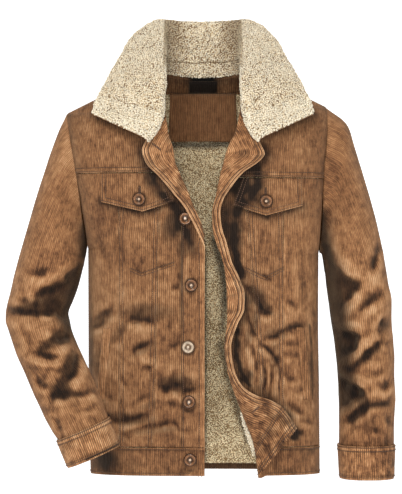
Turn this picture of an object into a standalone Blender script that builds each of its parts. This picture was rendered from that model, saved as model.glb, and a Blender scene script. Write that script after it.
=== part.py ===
"""Sherpa lined corduroy jacket, open at the front and filled out, with no wearer.

Metres, +Z up. The front faces -Y and +X is the wearer's left. The origin is the middle of the neck opening.
Each panel is a stretch of one body surface, so a seam is the same line on both of its pieces.
"""

import math

import bmesh
import bpy
import numpy as np
from mathutils import Matrix, Vector

CLOTH = 0.0016  # corduroy
DOUBLE_CLOTH = 0.0021  # two layers pressed together, in the flaps and cuffs
PILE = 0.0040  # sherpa lining
COLLAR_PILE = 0.0055
SEAM_GAP = 0.0003
HALF_GAP = SEAM_GAP / 2

HEM_Z = -0.653  # at the side seams
HEM_TILT = 0.07  # the front hem hangs higher than the back one
HEM_TILT_FROM_Z = -0.35
FOLDS_FROM = 0.04  # the distance from the side plane at which the folds have their full height
WAISTBAND = 0.047
LINING_ABOVE_HEM = 0.008
LINING_NEAR = 0.0038
LINING_FAR = 0.0065
LINING_SEAT = 0.0027  # where it meets the facing, away from the folds
YOKE_Z = {"right": -0.148, "left": -0.156}
GORGE_Z = -0.100  # the top of the lapels
NECK_POINT = (0.080, 0.030)  # x and z where the shoulder seam meets the collar
SHOULDER_SLOPE = 0.50
NECK_RISE = 0.021
NECK_BACK_Z = 0.023
LINING_SWELL = (0.02, 0.08)  # the heights above the hem between which it moves inward
LINING_RETURN = (-0.20, -0.10)  # the heights between which it comes back to the cloth
LINING_TOP_Z = 0.0030  # the back's lining stops just short of this, below the neck band
BACK_FAN_Z = -0.200  # the back's rows are level up to here and follow the shoulders above
SIDE_POWER = 2.5  # how square the body is across
SHOULDER_DROP = {"front": 0.200, "back": 0.120}  # height in which the shoulder reaches the full depth
SHOULDER_POWER = {"front": 2.0, "back": 2.2}
ARMHOLE_DEPTH = {"front": 0.060, "back": 0.065}
LIFT_AT_CREST = 0.55  # the share of an edge's lift that the cloth has reached at its crest
CREST_LIFT = 0.0090  # at most
TURNED_LIFT = 0.0060  # a crest as high as this, or higher, has its full bend
BEND = 0.009  # from where the cloth starts to turn to its crest
FLAT_BEND = 0.004  # the same where the edge lies flat

BUTTON_RADIUS = 0.0108
BUTTON_HEIGHT = 0.0036

SIDES = {"right": -1, "left": 1}
COLUMNS = {"side": 4, "pocket": 3, "centre": 2, "placket": 1}  # strips across each panel of a front
SLEEVE_SIDES = 20
COLLAR_STATIONS = 27


def table(names, *rows):
    """A short table, as its columns by name."""
    return dict(zip(names.split(), np.array(rows, float).T))


def follow(xs, ys, x):
    """The smooth curve through (xs, ys), without overshoot, at x."""
    slope = np.diff(ys) / np.diff(xs)
    tangent = np.empty(len(xs))
    tangent[0], tangent[-1] = slope[0], slope[-1]
    for i in range(1, len(xs) - 1):
        a, b = slope[i - 1], slope[i]
        tangent[i] = 2 * a * b / (a + b) if a * b > 0 else 0
    i = int(np.clip(np.searchsorted(xs, x) - 1, 0, len(xs) - 2))
    width = xs[i + 1] - xs[i]
    t = float(np.clip((x - xs[i]) / width, 0, 1))
    return (
        (1 + 2 * t) * (1 - t) ** 2 * ys[i]
        + t * (1 - t) ** 2 * width * tangent[i]
        + t * t * (3 - 2 * t) * ys[i + 1]
        + t * t * (t - 1) * width * tangent[i + 1]
    )


def read(columns, key, value, name):
    """One column of a table at one value of its key."""
    return follow(columns[key], columns[name], value)


def mix(a, b, t):
    return a + (b - a) * t


def ramp(low, high, x):
    """0 up to low and 1 from high on, eased between."""
    t = min(max((x - low) / (high - low), 0), 1)
    return t * t * (3 - 2 * t)


# The half width at each height: the side seam up to the armpit and the armhole seam above it.
WIDTHS = {
    "right": table(
        "z half",
        (-0.660, 0.1890), (-0.500, 0.1920), (-0.400, 0.1925), (-0.272, 0.1930),
        (-0.205, 0.2005), (-0.137, 0.2116), (-0.075, 0.2234), (-0.0448, 0.2295),
    ),
    "left": table(
        "z half",
        (-0.660, 0.1965), (-0.500, 0.1950), (-0.400, 0.1935), (-0.280, 0.1940),
        (-0.205, 0.1965), (-0.137, 0.2000), (-0.075, 0.2060), (-0.0338, 0.2075),
    ),
}
ARMPIT_Z = {"right": -0.272, "left": -0.280}
DEPTHS = table(
    "z front back",
    (-0.660, 0.105, 0.105),
    (-0.500, 0.109, 0.108),
    (-0.350, 0.115, 0.113),
    (-0.250, 0.118, 0.118),
    (-0.150, 0.116, 0.120),
    (-0.050, 0.113, 0.120),
    (0.050, 0.113, 0.120),
)

# The front edges, from the hem up. The cloth turns at the crest and ends at the edge, which is proud by lift.
FRONT_EDGES = {
    "right": table(
        "z crest edge edge_z lift",
        (-0.660, -0.0015, 0.0025, -0.660, 0.000),
        (-0.305, -0.0015, 0.0025, -0.305, 0.000),
        (-0.288, -0.0014, 0.0026, -0.288, 0.0015),
        (-0.274, -0.0010, 0.0020, -0.274, 0.005),
        (-0.261, -0.0006, -0.0020, -0.261, 0.0095),
        (-0.249, -0.0008, -0.0075, -0.249, 0.0125),
        (-0.2275, -0.0065, -0.0180, -0.2275, 0.014),
        (-0.201, -0.0188, -0.0330, -0.2010, 0.014),
        (-0.182, -0.0262, -0.0490, -0.1820, 0.013),
        (-0.152, -0.0400, -0.0736, -0.1530, 0.012),
        (-0.131, -0.0490, -0.0924, -0.1340, 0.012),
        (-0.111, -0.0523, -0.0997, -0.1130, 0.011),
        (-0.100, -0.0540, -0.0965, -0.1025, 0.011),
    ),
    "left": table(
        "z crest edge edge_z lift",
        (-0.660, 0.0962, 0.1560, -0.5800, 0.024),
        (-0.618, 0.0900, 0.1357, -0.5447, 0.022),
        (-0.5905, 0.0834, 0.1128, -0.5267, 0.020),
        (-0.564, 0.0719, 0.0867, -0.5169, 0.019),
        (-0.5365, 0.0615, 0.0680, -0.5050, 0.018),
        (-0.507, 0.0507, 0.0560, -0.4880, 0.016),
        (-0.4745, 0.0417, 0.0490, -0.4662, 0.014),
        (-0.435, 0.0365, 0.0455, -0.4340, 0.012),
        (-0.3975, 0.0409, 0.0556, -0.3975, 0.012),
        (-0.3715, 0.0417, 0.0670, -0.3715, 0.012),
        (-0.352, 0.0414, 0.0680, -0.3520, 0.012),
        (-0.322, 0.0392, 0.0595, -0.3220, 0.012),
        (-0.293, 0.0343, 0.0464, -0.2930, 0.012),
        (-0.2635, 0.0237, 0.0384, -0.2635, 0.012),
        (-0.2357, 0.0172, 0.0300, -0.2357, 0.012),
        (-0.2128, 0.0172, 0.0280, -0.2128, 0.012),
        (-0.193, 0.0213, 0.0330, -0.1930, 0.012),
        (-0.170, 0.0262, 0.0474, -0.1703, 0.012),
        (-0.1475, 0.0319, 0.0654, -0.1485, 0.012),
        (-0.128, 0.0384, 0.0900, -0.1310, 0.012),
        (-0.1145, 0.0425, 0.1004, -0.1180, 0.011),
        (-0.100, 0.0474, 0.0940, -0.1025, 0.011),
    ),
}
# The two seams that run down from each chest pocket, and the placket seam, at the hem and at the yoke.
POCKET_SEAMS = {
    "right": {"outer": (0.1386, 0.1386), "inner": (0.0834, 0.0690), "placket": (0.0352, 0.0352)},
    "left": {"outer": (0.1340, 0.1310), "inner": (0.1050, 0.0670), "placket": (0.0352, 0.0352)},
}
LEAST_STRIP = 0.006  # the placket seam's least distance from the turn, and of one seam from the next
NECKLINE = table(
    "z x",
    (-0.100, 0.0660), (-0.070, 0.0640), (-0.040, 0.0650),
    (-0.010, 0.0700), (0.015, 0.0765), (0.030, 0.0800),
)

# The largest folds of the body: from one end to the other, seen from the front, with a width and a height.
FRONT_FOLDS = table(
    "x0 z0 x1 z1 width height",
    (-0.120, -0.385, -0.078, -0.362, 0.010, -0.0040),
    (-0.176, -0.395, -0.150, -0.372, 0.009, -0.0035),
    (-0.146, -0.432, -0.125, -0.388, 0.009, 0.0040),
    (-0.110, -0.440, -0.084, -0.425, 0.008, -0.0035),
    (-0.092, -0.475, -0.014, -0.500, 0.011, -0.0045),
    (-0.098, -0.455, -0.075, -0.468, 0.008, 0.0035),
    (-0.146, -0.550, -0.086, -0.570, 0.010, -0.0040),
    (-0.114, -0.566, -0.033, -0.572, 0.009, 0.0035),
    (0.073, -0.340, 0.097, -0.378, 0.010, -0.0045),
    (0.078, -0.383, 0.100, -0.436, 0.009, 0.0045),
    (0.100, -0.436, 0.122, -0.420, 0.008, -0.0035),
    (0.103, -0.437, 0.120, -0.460, 0.008, -0.0035),
    (0.085, -0.485, 0.080, -0.530, 0.009, 0.0040),
    (0.104, -0.480, 0.104, -0.525, 0.007, -0.0035),
    (0.118, -0.475, 0.118, -0.520, 0.007, 0.0030),
    (0.165, -0.395, 0.141, -0.402, 0.008, -0.0030),
)
BACK_FOLDS = table(
    "x0 z0 x1 z1 width height",
    (-0.160, -0.330, -0.090, -0.395, 0.014, 0.0045),
    (-0.150, -0.455, -0.060, -0.490, 0.013, -0.0040),
    (-0.165, -0.545, -0.080, -0.565, 0.012, 0.0040),
    (-0.040, -0.520, 0.050, -0.545, 0.013, -0.0035),
    (0.165, -0.350, 0.095, -0.410, 0.014, 0.0045),
    (0.155, -0.470, 0.070, -0.500, 0.013, -0.0040),
    (0.160, -0.560, 0.090, -0.575, 0.012, 0.0035),
    (-0.150, -0.150, -0.105, -0.240, 0.016, -0.0035),
    (0.150, -0.150, 0.105, -0.240, 0.016, -0.0035),
)


def fold_height(folds, x, z):
    """How far the folds lift the cloth at x and z."""
    height = 0
    for x0, z0, x1, z1, width, rise in zip(*folds.values()):
        along = ((x - x0) * (x1 - x0) + (z - z0) * (z1 - z0)) / ((x1 - x0) ** 2 + (z1 - z0) ** 2)
        t = min(max(along, 0), 1)
        away = (x - mix(x0, x1, t)) ** 2 + (z - mix(z0, z1, t)) ** 2
        height += rise * math.exp(-away / width**2)
    return height


# ---------- the body surface ----------


def side_of(x):
    return "left" if x >= 0 else "right"


def half_width(side, z):
    return read(WIDTHS[side], "z", z, "half")


def shoulder_top(side):
    return WIDTHS[side]["z"][-1]


def ridge_z(x):
    """The height of the shoulder line, which goes on rising across the neck."""
    if abs(x) >= NECK_POINT[0]:
        return NECK_POINT[1] - (abs(x) - NECK_POINT[0]) * SHOULDER_SLOPE
    return NECK_POINT[1] + NECK_RISE * (1 - (x / NECK_POINT[0]) ** 2)


def armhole_reach(side, face, z):
    """How far the armhole seam lies before or behind the side plane."""
    top, bottom = shoulder_top(side), ARMPIT_Z[side]
    across = (2 * z - top - bottom) / (top - bottom)
    return ARMHOLE_DEPTH[face] * math.sqrt(1 - across * across) if abs(across) < 1 else 0


def body_depth(face, x, z):
    """The distance of the cloth from the side plane, without folds."""
    side = side_of(x)
    drop = (ridge_z(x) - z) / SHOULDER_DROP[face]
    power = SHOULDER_POWER[face]
    rounding = (1 - (1 - drop) ** power) ** (1 / power) if 0 <= drop < 1 else float(drop >= 1)
    seam = armhole_reach(side, face, z)
    across = min(abs(x) / half_width(side, z), 1)
    bulge = (1 - across**SIDE_POWER) ** (1 / SIDE_POWER)
    return seam + (read(DEPTHS, "z", z, face) * rounding - seam) * bulge


def body_point(face, x, z, lift=0, folded=True):
    """A point of the cloth, lifted off it by lift along Y, with or without its folds."""
    sign = -1 if face == "front" else 1
    depth = body_depth(face, x, z)
    if folded:
        lift += ramp(0, FOLDS_FROM, depth) * fold_height(FRONT_FOLDS if face == "front" else BACK_FOLDS, x, z)
    y = sign * (depth + HALF_GAP + lift)
    tilt = HEM_TILT * y * (1 - ramp(HEM_Z, HEM_TILT_FROM_Z, z))
    return np.array((x, y, z - tilt))


def angle_of(x, half):
    """The turn round the body, 0 at the middle and a quarter at the side, that reaches x."""
    return math.asin(min(abs(x) / half, 1) ** (SIDE_POWER / 2))


def x_at(angle, half):
    return half * math.sin(angle) ** (2 / SIDE_POWER)


# ---------- the fronts ----------
# A point of a front is found by two numbers. row: 0 hem, 1 waistband seam, 2 yoke seam, 3 gorge, 4 shoulder
# seam. col: 0 side seam or armhole, 1 outer pocket seam, 2 inner pocket seam, 3 placket seam or neckline,
# 4 where the cloth starts to turn, 5 its crest, 6 its edge.

HEM, BAND, YOKE, GORGE, SHOULDER = range(5)
SIDE, OUTER, INNER, PLACKET, TURN, CREST, EDGE = range(7)
ABOVE_GORGE = 0.03  # a row of the turned strip above the gorge, where no piece uses it


def row_heights(side, row):
    """The height of a row at the placket or neckline, and at the side."""
    near = (HEM_Z, HEM_Z + WAISTBAND, YOKE_Z[side], GORGE_Z, NECK_POINT[1])
    far = (HEM_Z, HEM_Z + WAISTBAND, YOKE_Z[side], GORGE_Z - 0.005, shoulder_top(side))
    i = min(int(row), SHOULDER - 1)
    t = row - i
    if i == GORGE:
        t = math.sin(t * math.pi / 2)
    return mix(near[i], near[i + 1], t), mix(far[i], far[i + 1], t)


def front_edge(side, z):
    """The crest, edge, edge height and lift of a front's edge at height z, and where its turn starts."""
    row = {name: read(FRONT_EDGES[side], "z", z, name) for name in ("crest", "edge", "edge_z", "lift")}
    row["crest_lift"] = min(row["lift"] * LIFT_AT_CREST, CREST_LIFT)
    turned = min(row["crest_lift"] / TURNED_LIFT, 1)
    row["turn"] = row["crest"] + SIDES[side] * mix(FLAT_BEND, BEND, turned)
    return row


def seam_x(side, z):
    """The distance from the middle of the placket seam and the two pocket seams at height z."""
    up = (z - HEM_Z) / (YOKE_Z[side] - HEM_Z)
    seams = {name: mix(low, high, min(up, 1)) for name, (low, high) in POCKET_SEAMS[side].items()}
    turn = SIDES[side] * front_edge(side, min(z, GORGE_Z))["turn"]
    placket = max(seams["placket"], turn + LEAST_STRIP)
    inner = max(seams["inner"], placket + LEAST_STRIP)
    return placket, inner, seams["outer"]


def front_point(side, row, col, folded=True):
    """A point of a front, by row and column."""
    sign = SIDES[side]
    if col > PLACKET and row > GORGE:
        return front_point(side, GORGE, col) + np.array((0, 0, (row - GORGE) * ABOVE_GORGE))
    near_z, far_z = row_heights(side, row)
    if col > PLACKET:
        return turned_point(side, near_z, col)
    half = half_width(side, far_z)
    yoke_z = YOKE_Z[side]
    knots = [angle_of(x, half_width(side, min(near_z, yoke_z))) for x in seam_x(side, min(near_z, yoke_z))]
    if near_z > yoke_z:
        if near_z > GORGE_Z:
            x = read(NECKLINE, "z", near_z, "x")
        else:
            x = seam_x(side, near_z)[0]
        near = angle_of(x, half)
        even = [mix(near, math.pi / 2, k / 3) for k in range(3)]
        spread = ramp(yoke_z, NECK_POINT[1], near_z)
        knots = [near, mix(knots[1], even[1], spread), mix(knots[2], even[2], spread)]
    knots = [math.pi / 2, knots[2], knots[1], knots[0]]
    i = min(int(col), 2)
    x = x_at(mix(knots[i], knots[i + 1], col - i), half)
    nearest = x_at(knots[3], half)
    z = mix(near_z, far_z, min(max((x - nearest) / (half - nearest), 0), 1))
    return body_point("front", sign * x, z, 0, folded)


def turned_point(side, z, col):
    """A point of the strip that turns at a front's edge, by a curve in x, z and lift."""
    sign = SIDES[side]
    edge = front_edge(side, z)
    seam = np.array((sign * seam_x(side, z)[0], z, 0))
    start = np.array((edge["turn"], z, 0))
    crest = np.array((edge["crest"], mix(z, edge["edge_z"], 0.04), edge["crest_lift"]))
    end = np.array((edge["edge"], edge["edge_z"], edge["lift"]))
    if col <= TURN:
        place = mix(seam, start, col - PLACKET)
    else:
        inward = np.array((-sign * np.linalg.norm(crest - start), 0, 0))
        bend = (end - start) * 0.5
        if col <= CREST:
            place = hermite(start, inward, crest, bend, col - TURN)
        else:
            place = hermite(crest, bend, end, end - crest, col - CREST)
    return body_point("front", *place)


def hermite(a, leave, b, arrive, t):
    """The curve from a to b that leaves and arrives along the given directions."""
    return (
        (1 + 2 * t) * (1 - t) ** 2 * a
        + t * (1 - t) ** 2 * leave
        + t * t * (3 - 2 * t) * b
        + t * t * (t - 1) * arrive
    )


def steps(start, end, count):
    return list(np.linspace(start, end, count + 1))


def front_grid(side, rows, cols, folded=True):
    return np.array([[front_point(side, row, col, folded) for col in cols] for row in rows])


# ---------- the back ----------


def back_top(x, lining):
    """The height at which the back, or its lining, ends at x."""
    if lining:
        return min(ridge_z(x) - 0.004, LINING_TOP_Z + max(abs(x) - NECK_POINT[0], 0) * 1.5)
    if abs(x) >= NECK_POINT[0]:
        return ridge_z(x)
    return mix(NECK_BACK_Z, NECK_POINT[1], (x / NECK_POINT[0]) ** 2)


def back_point(row, across, lining=False):
    """A point of the back: row 0 hem, 1 waistband seam, 2 start of the fan, 3 top; across from -1 to 1."""
    side = side_of(across)
    levels = (HEM_Z, HEM_Z + WAISTBAND, BACK_FAN_Z, shoulder_top(side))
    i = min(int(row), 2)
    t = row - i
    if i == 2:
        t = math.sin(t * math.pi / 2)
    far_z = mix(levels[i], levels[i + 1], t)
    half = half_width(side, far_z)
    x = x_at(abs(across) * math.pi / 2, half)
    z = far_z
    if i == 2:
        z = mix(BACK_FAN_Z, back_top(x / half * half_width(side, levels[3]), lining), t)
    return body_point("back", SIDES[side] * x, z, 0, not lining)


def back_grid(rows, columns, lining=False):
    return np.array([[back_point(row, across, lining) for across in columns] for row in rows])


# ---------- sleeves and collar ----------

# Each ring of a sleeve: its outer and inner side seen from the front, and its place and half size in depth.
SLEEVES = {
    "right": table(
        "outer_x outer_z inner_x inner_z y deep",
        (0.2463, -0.0781, 0.1975, -0.2745, -0.002, 0.061),
        (0.2666, -0.1359, 0.1990, -0.2830, -0.003, 0.063),
        (0.2835, -0.1902, 0.2010, -0.2925, -0.004, 0.063),
        (0.2988, -0.2428, 0.2033, -0.3039, -0.004, 0.061),
        (0.3089, -0.2768, 0.2072, -0.3209, -0.004, 0.059),
        (0.3201, -0.3158, 0.2140, -0.3430, -0.003, 0.057),
        (0.3278, -0.3481, 0.2217, -0.3634, -0.002, 0.055),
        (0.3345, -0.3838, 0.2284, -0.3821, -0.003, 0.053),
        (0.3284, -0.4118, 0.2255, -0.3970, -0.012, 0.052),
        (0.3185, -0.4388, 0.2211, -0.4125, -0.026, 0.051),
        (0.3067, -0.4627, 0.2120, -0.4309, -0.042, 0.050),
        (0.2932, -0.4882, 0.2007, -0.4516, -0.060, 0.049),
        (0.2779, -0.5165, 0.1886, -0.4745, -0.080, 0.047),
        (0.2631, -0.5446, 0.1759, -0.5002, -0.098, 0.045),
        (0.2504, -0.5646, 0.1645, -0.5237, -0.111, 0.043),
        (0.2365, -0.5832, 0.1550, -0.5473, -0.121, 0.041),
    ),
    "left": table(
        "outer_x outer_z inner_x inner_z y deep",
        (0.2429, -0.0611, 0.2013, -0.2825, -0.002, 0.061),
        (0.2564, -0.0985, 0.2031, -0.2895, -0.003, 0.063),
        (0.2733, -0.1546, 0.2047, -0.2989, -0.004, 0.063),
        (0.2903, -0.2140, 0.2064, -0.3107, -0.004, 0.061),
        (0.3030, -0.2683, 0.2081, -0.3243, -0.004, 0.059),
        (0.3116, -0.3125, 0.2106, -0.3413, -0.003, 0.057),
        (0.3193, -0.3600, 0.2137, -0.3668, -0.002, 0.055),
        (0.3201, -0.3974, 0.2177, -0.3957, -0.003, 0.053),
        (0.3233, -0.4278, 0.2226, -0.4244, -0.005, 0.052),
        (0.3243, -0.4616, 0.2258, -0.4565, -0.008, 0.050),
        (0.3240, -0.4952, 0.2286, -0.4918, -0.011, 0.048),
        (0.3247, -0.5321, 0.2303, -0.5304, -0.015, 0.046),
        (0.3226, -0.5689, 0.2300, -0.5673, -0.019, 0.044),
        (0.3208, -0.6014, 0.2294, -0.6014, -0.023, 0.041),
    ),
}
CUFFS = {
    "right": table(
        "outer_x outer_z inner_x inner_z y deep",
        (0.2370, -0.5840, 0.1545, -0.5481, -0.1213, 0.0416),
        (0.2174, -0.6269, 0.1379, -0.5928, -0.1370, 0.0385),
    ),
    "left": table(
        "outer_x outer_z inner_x inner_z y deep",
        (0.3213, -0.6022, 0.2289, -0.6022, -0.0230, 0.0416),
        (0.3191, -0.6581, 0.2324, -0.6581, -0.0280, 0.0385),
    ),
}
# The sleeves' largest folds, seen from the front; "face" -1 is the front of the sleeve and 1 the back.
SLEEVE_FOLDS = {
    "right": table(
        "face x0 z0 x1 z1 width height",
        (-1, -0.219, -0.312, -0.273, -0.351, 0.010, -0.0060),
        (-1, -0.228, -0.335, -0.290, -0.362, 0.010, 0.0050),
        (-1, -0.323, -0.378, -0.245, -0.366, 0.010, -0.0060),
        (-1, -0.330, -0.398, -0.262, -0.410, 0.009, 0.0055),
        (-1, -0.222, -0.426, -0.268, -0.433, 0.009, -0.0055),
        (-1, -0.304, -0.446, -0.248, -0.462, 0.010, 0.0050),
        (-1, -0.216, -0.441, -0.236, -0.503, 0.010, -0.0050),
        (-1, -0.268, -0.535, -0.208, -0.523, 0.010, -0.0050),
        (1, -0.225, -0.300, -0.285, -0.330, 0.012, 0.0050),
        (1, -0.320, -0.385, -0.250, -0.385, 0.012, 0.0060),
        (1, -0.310, -0.430, -0.240, -0.450, 0.012, -0.0050),
        (1, -0.280, -0.490, -0.220, -0.480, 0.012, 0.0050),
    ),
    "left": table(
        "face x0 z0 x1 z1 width height",
        (-1, 0.224, -0.330, 0.258, -0.338, 0.011, -0.0070),
        (-1, 0.258, -0.341, 0.224, -0.389, 0.010, 0.0060),
        (-1, 0.228, -0.420, 0.267, -0.445, 0.011, -0.0070),
        (-1, 0.267, -0.426, 0.231, -0.464, 0.009, 0.0055),
        (-1, 0.231, -0.502, 0.275, -0.528, 0.011, -0.0065),
        (-1, 0.325, -0.533, 0.282, -0.538, 0.009, 0.0055),
        (-1, 0.282, -0.538, 0.236, -0.580, 0.009, 0.0050),
        (-1, 0.287, -0.316, 0.320, -0.355, 0.010, 0.0050),
        (-1, 0.318, -0.396, 0.299, -0.413, 0.010, -0.0050),
        (1, 0.230, -0.330, 0.285, -0.355, 0.013, 0.0060),
        (1, 0.240, -0.425, 0.300, -0.440, 0.012, -0.0060),
        (1, 0.240, -0.500, 0.305, -0.520, 0.013, 0.0055),
    ),
}
RING_POWER = 2.2


def armhole_ring(side, count):
    """The sleeve head's first ring, just outside the armhole seam."""
    top, bottom = shoulder_top(side), ARMPIT_Z[side]
    ring = []
    for k in range(count):
        turn = 2 * math.pi * k / count
        z = mix(bottom, top, (1 + math.cos(turn)) / 2)
        face = "front" if math.sin(turn) >= 0 else "back"
        y = -math.sin(turn) * ARMHOLE_DEPTH[face]
        x = half_width(side, z) + CLOTH + SEAM_GAP + 1.5 * CLOTH * ramp(0.2, -0.8, math.cos(turn))
        ring.append((SIDES[side] * x, y, z))
    return ring


def sleeve_ring(side, row, count):
    """One ring of a sleeve or cuff, from its outer side round by the front."""
    outer = np.array((row["outer_x"], row["y"], row["outer_z"]))
    inner = np.array((row["inner_x"], row["y"], row["inner_z"]))
    centre, reach = (outer + inner) / 2, (outer - inner) / 2
    ring = []
    for k in range(count):
        turn = 2 * math.pi * k / count
        across = math.copysign(abs(math.cos(turn)) ** (2 / RING_POWER), math.cos(turn))
        deep = math.copysign(abs(math.sin(turn)) ** (2 / RING_POWER), math.sin(turn))
        point = centre + reach * across + np.array((0, -row["deep"] * deep, 0))
        point[0] *= SIDES[side]
        ring.append(point)
    return ring


def rows_of(columns):
    return [dict(zip(columns, values)) for values in zip(*columns.values())]


def sleeve_grid(side):
    rings = [armhole_ring(side, SLEEVE_SIDES)]
    for row in rows_of(SLEEVES[side]):
        ring = sleeve_ring(side, row, SLEEVE_SIDES)
        centre = np.mean(ring, axis=0)
        for k, point in enumerate(ring):
            folds = rows_of(SLEEVE_FOLDS[side])
            face = -1 if point[1] < centre[1] else 1
            facing = {name: np.array([fold[name] for fold in folds if fold["face"] == face])
                      for name in ("x0", "z0", "x1", "z1", "width", "height")}
            outward = (point - centre) / np.linalg.norm(point - centre)
            calm = ramp(0, 0.5, abs(outward[1]))
            ring[k] = point + outward * calm * fold_height(facing, point[0], point[2])
        rings.append(ring)
    return np.array(rings)


def cuff_grid(side):
    first, last = rows_of(CUFFS[side])
    between = [{name: mix(first[name], last[name], t) for name in first} for t in (0, 0.5, 1)]
    return np.array([sleeve_ring(side, row, SLEEVE_SIDES) for row in between])


# The collar from the middle of the back to its front end: the neck seam, the roll and the free edge.
COLLAR = table(
    "t neck_x neck_y neck_z roll_x roll_y roll_z edge_x edge_y edge_z",
    (0.00, 0.000, 0.083, 0.0244, 0.0000, 0.087, 0.072, 0.000, 0.098, 0.124),
    (0.14, 0.035, 0.076, 0.0260, 0.0360, 0.082, 0.076, 0.037, 0.095, 0.125),
    (0.26, 0.062, 0.053, 0.0294, 0.0655, 0.071, 0.106, 0.072, 0.085, 0.126),
    (0.38, 0.075, 0.026, 0.0325, 0.0670, 0.041, 0.092, 0.100, 0.072, 0.113),
    (0.50, 0.079, -0.005, 0.0335, 0.0665, -0.002, 0.068, 0.126, 0.044, 0.084),
    (0.62, 0.073, -0.042, 0.0180, 0.0660, -0.042, 0.042, 0.141, 0.016, 0.052),
    (0.74, 0.067, -0.070, -0.0060, 0.0660, -0.078, 0.014, 0.157, -0.012, 0.020),
    (0.86, 0.067, -0.094, -0.0450, 0.0705, -0.105, -0.035, 0.171, -0.048, -0.012),
    (0.95, 0.079, -0.107, -0.0770, 0.0810, -0.118, -0.070, 0.180, -0.066, -0.036),
    (1.00, 0.092, -0.118, -0.0965, 0.0965, -0.127, -0.092, 0.183, -0.076, -0.050),
)
COLLAR_SPREAD = 0.5


def collar_point(t, across):
    """A point of the collar: t from its right end at -1 to its left at 1, across 0 neck, 1 roll, 2 edge."""
    station = {name: read(COLLAR, "t", abs(t), name) for name in COLLAR if name != "t"}
    neck, roll, edge = (np.array([station[part + axis] for axis in ("_x", "_y", "_z")])
                        for part in ("neck", "roll", "edge"))
    over = (edge - neck) * COLLAR_SPREAD
    over *= min(np.linalg.norm(roll - neck), np.linalg.norm(edge - roll)) / np.linalg.norm(over)
    if across <= 1:
        point = hermite(neck, roll - neck, roll, over, across)
    else:
        leave = over * np.linalg.norm(edge - roll) / np.linalg.norm(over)
        point = hermite(roll, leave, edge, edge - roll, across - 1)
    point[0] *= math.copysign(1, t)
    return point


def collar_grid():
    across = (0, 0.5, 1, 1.25, 1.5, 1.75, 2)
    return np.array([[collar_point(t, a) for a in across] for t in steps(-1, 1, COLLAR_STATIONS - 1)])


# ---------- turning surfaces into cloth ----------


def normals(grid, ring=False):
    """The unit normal at each point of a grid."""
    across = np.gradient(grid, axis=1)
    if ring:
        across = (np.roll(grid, -1, axis=1) - np.roll(grid, 1, axis=1)) / 2
    cross = np.cross(across, np.gradient(grid, axis=0))
    return cross / np.linalg.norm(cross, axis=2, keepdims=True)


def facing(grid, out, ring=False):
    """1 if the normals of the first cells point along out, or else -1."""
    return 1 if np.dot(normals(grid, ring)[1, 1], out) > 0 else -1


def shift(grid, distance, out):
    """The grid moved along its normals, towards out, by one distance or by one for each point."""
    return grid + normals(grid) * np.array(distance)[..., None] * facing(grid, out)


def lining_clearance(grid, meets_facing=False):
    """How far the lining hangs inside the cloth: close at its ends and clear of the folds between."""
    z = grid[..., 2]
    low, high = HEM_Z + LINING_SWELL[0], HEM_Z + LINING_SWELL[1]
    inner = [[ramp(low, high, v) * (1 - ramp(*LINING_RETURN, v)) for v in row] for row in z]
    near = np.full(z.shape, LINING_NEAR)
    if meets_facing:
        near[:, -1] = LINING_SEAT
    return mix(near, LINING_FAR, np.array(inner))


def shell(name, grid, wall, out, material, ring=False, keep=None):
    """A cloth piece: the grid as an open surface, with a wall that grows along out."""
    rows, columns = grid.shape[:2]
    turned = facing(grid, out, ring) < 0
    mesh_builder = bmesh.new()
    points = {}

    def vertex(i, j):
        j %= columns
        if (i, j) not in points:
            points[i, j] = mesh_builder.verts.new(grid[i, j])
        return points[i, j]

    for i in range(rows - 1):
        for j in range(columns if ring else columns - 1):
            if keep is None or keep(i, j):
                corners = [vertex(i, j), vertex(i, j + 1), vertex(i + 1, j + 1), vertex(i + 1, j)]
                mesh_builder.faces.new(corners[:1] + corners[:0:-1] if turned else corners)
    piece = new_object(name, mesh_builder, material)
    solid = piece.modifiers.new("wall", "SOLIDIFY")
    solid.thickness = wall
    solid.offset = 1
    solid.use_even_offset = False
    return piece


def new_object(name, mesh_builder, material):
    mesh = bpy.data.meshes.new(name)
    mesh_builder.to_mesh(mesh)
    mesh_builder.free()
    mesh.materials.append(material)
    piece = bpy.data.objects.new(name, mesh)
    jacket.objects.link(piece)
    return piece


def paint(name, colour, roughness, metallic=0):
    material = bpy.data.materials.new(name)
    material.use_nodes = True
    surface = material.node_tree.nodes["Principled BSDF"]
    surface.inputs["Base Color"].default_value = (*colour, 1)
    surface.inputs["Roughness"].default_value = roughness
    surface.inputs["Metallic"].default_value = metallic
    return material


# ---------- the pieces ----------

COL_GAP = 0.004  # half a seam's gap, as a share of a panel's width
ROW_GAP = {"band": 0.010, "front": 0.0016, "yoke": 0.003}  # the same as a share of a stretch of rows
SLEEVE_SEAMS = (11, 19)  # the columns of a sleeve's two seams, counted from its outer side round by the front
SLEEVE_SEAM_GAP = 0.010  # half that seam's gap, as a share of the strip beside it
TURNED_CORNER_GAP = 0.10  # how far the waistband's turned end hangs back from its seam, as a share of a strip
OUT = Vector((0, -1, 0))


def column_list(first, last):
    """Columns for a stretch of a front, close together where it turns."""
    names = ("side", "pocket", "centre", "placket")
    columns = [first]
    for i, name in enumerate(names):
        columns += [c for c in steps(i, i + 1, COLUMNS[name]) if first + 0.02 < c < last - 0.02]
    columns += [c for c in (4.5, 5, 5.5) if first < c < last]
    return sorted(set(columns)) + [last]


FACING_COLUMN = 2.5  # where the facing meets the lining
LINING_GAP = 0.020  # between the two, as a share of a panel's width
LINING_SIDE = 0.03  # where a front's lining starts, as a share of its side panel
FACING_TOP = 3.7  # the highest row of the facing and of the front's lining
LINING_TOP = 3.5
BACK_LINING_REACH = 0.985  # how far round to the sides the back's lining goes

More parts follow.
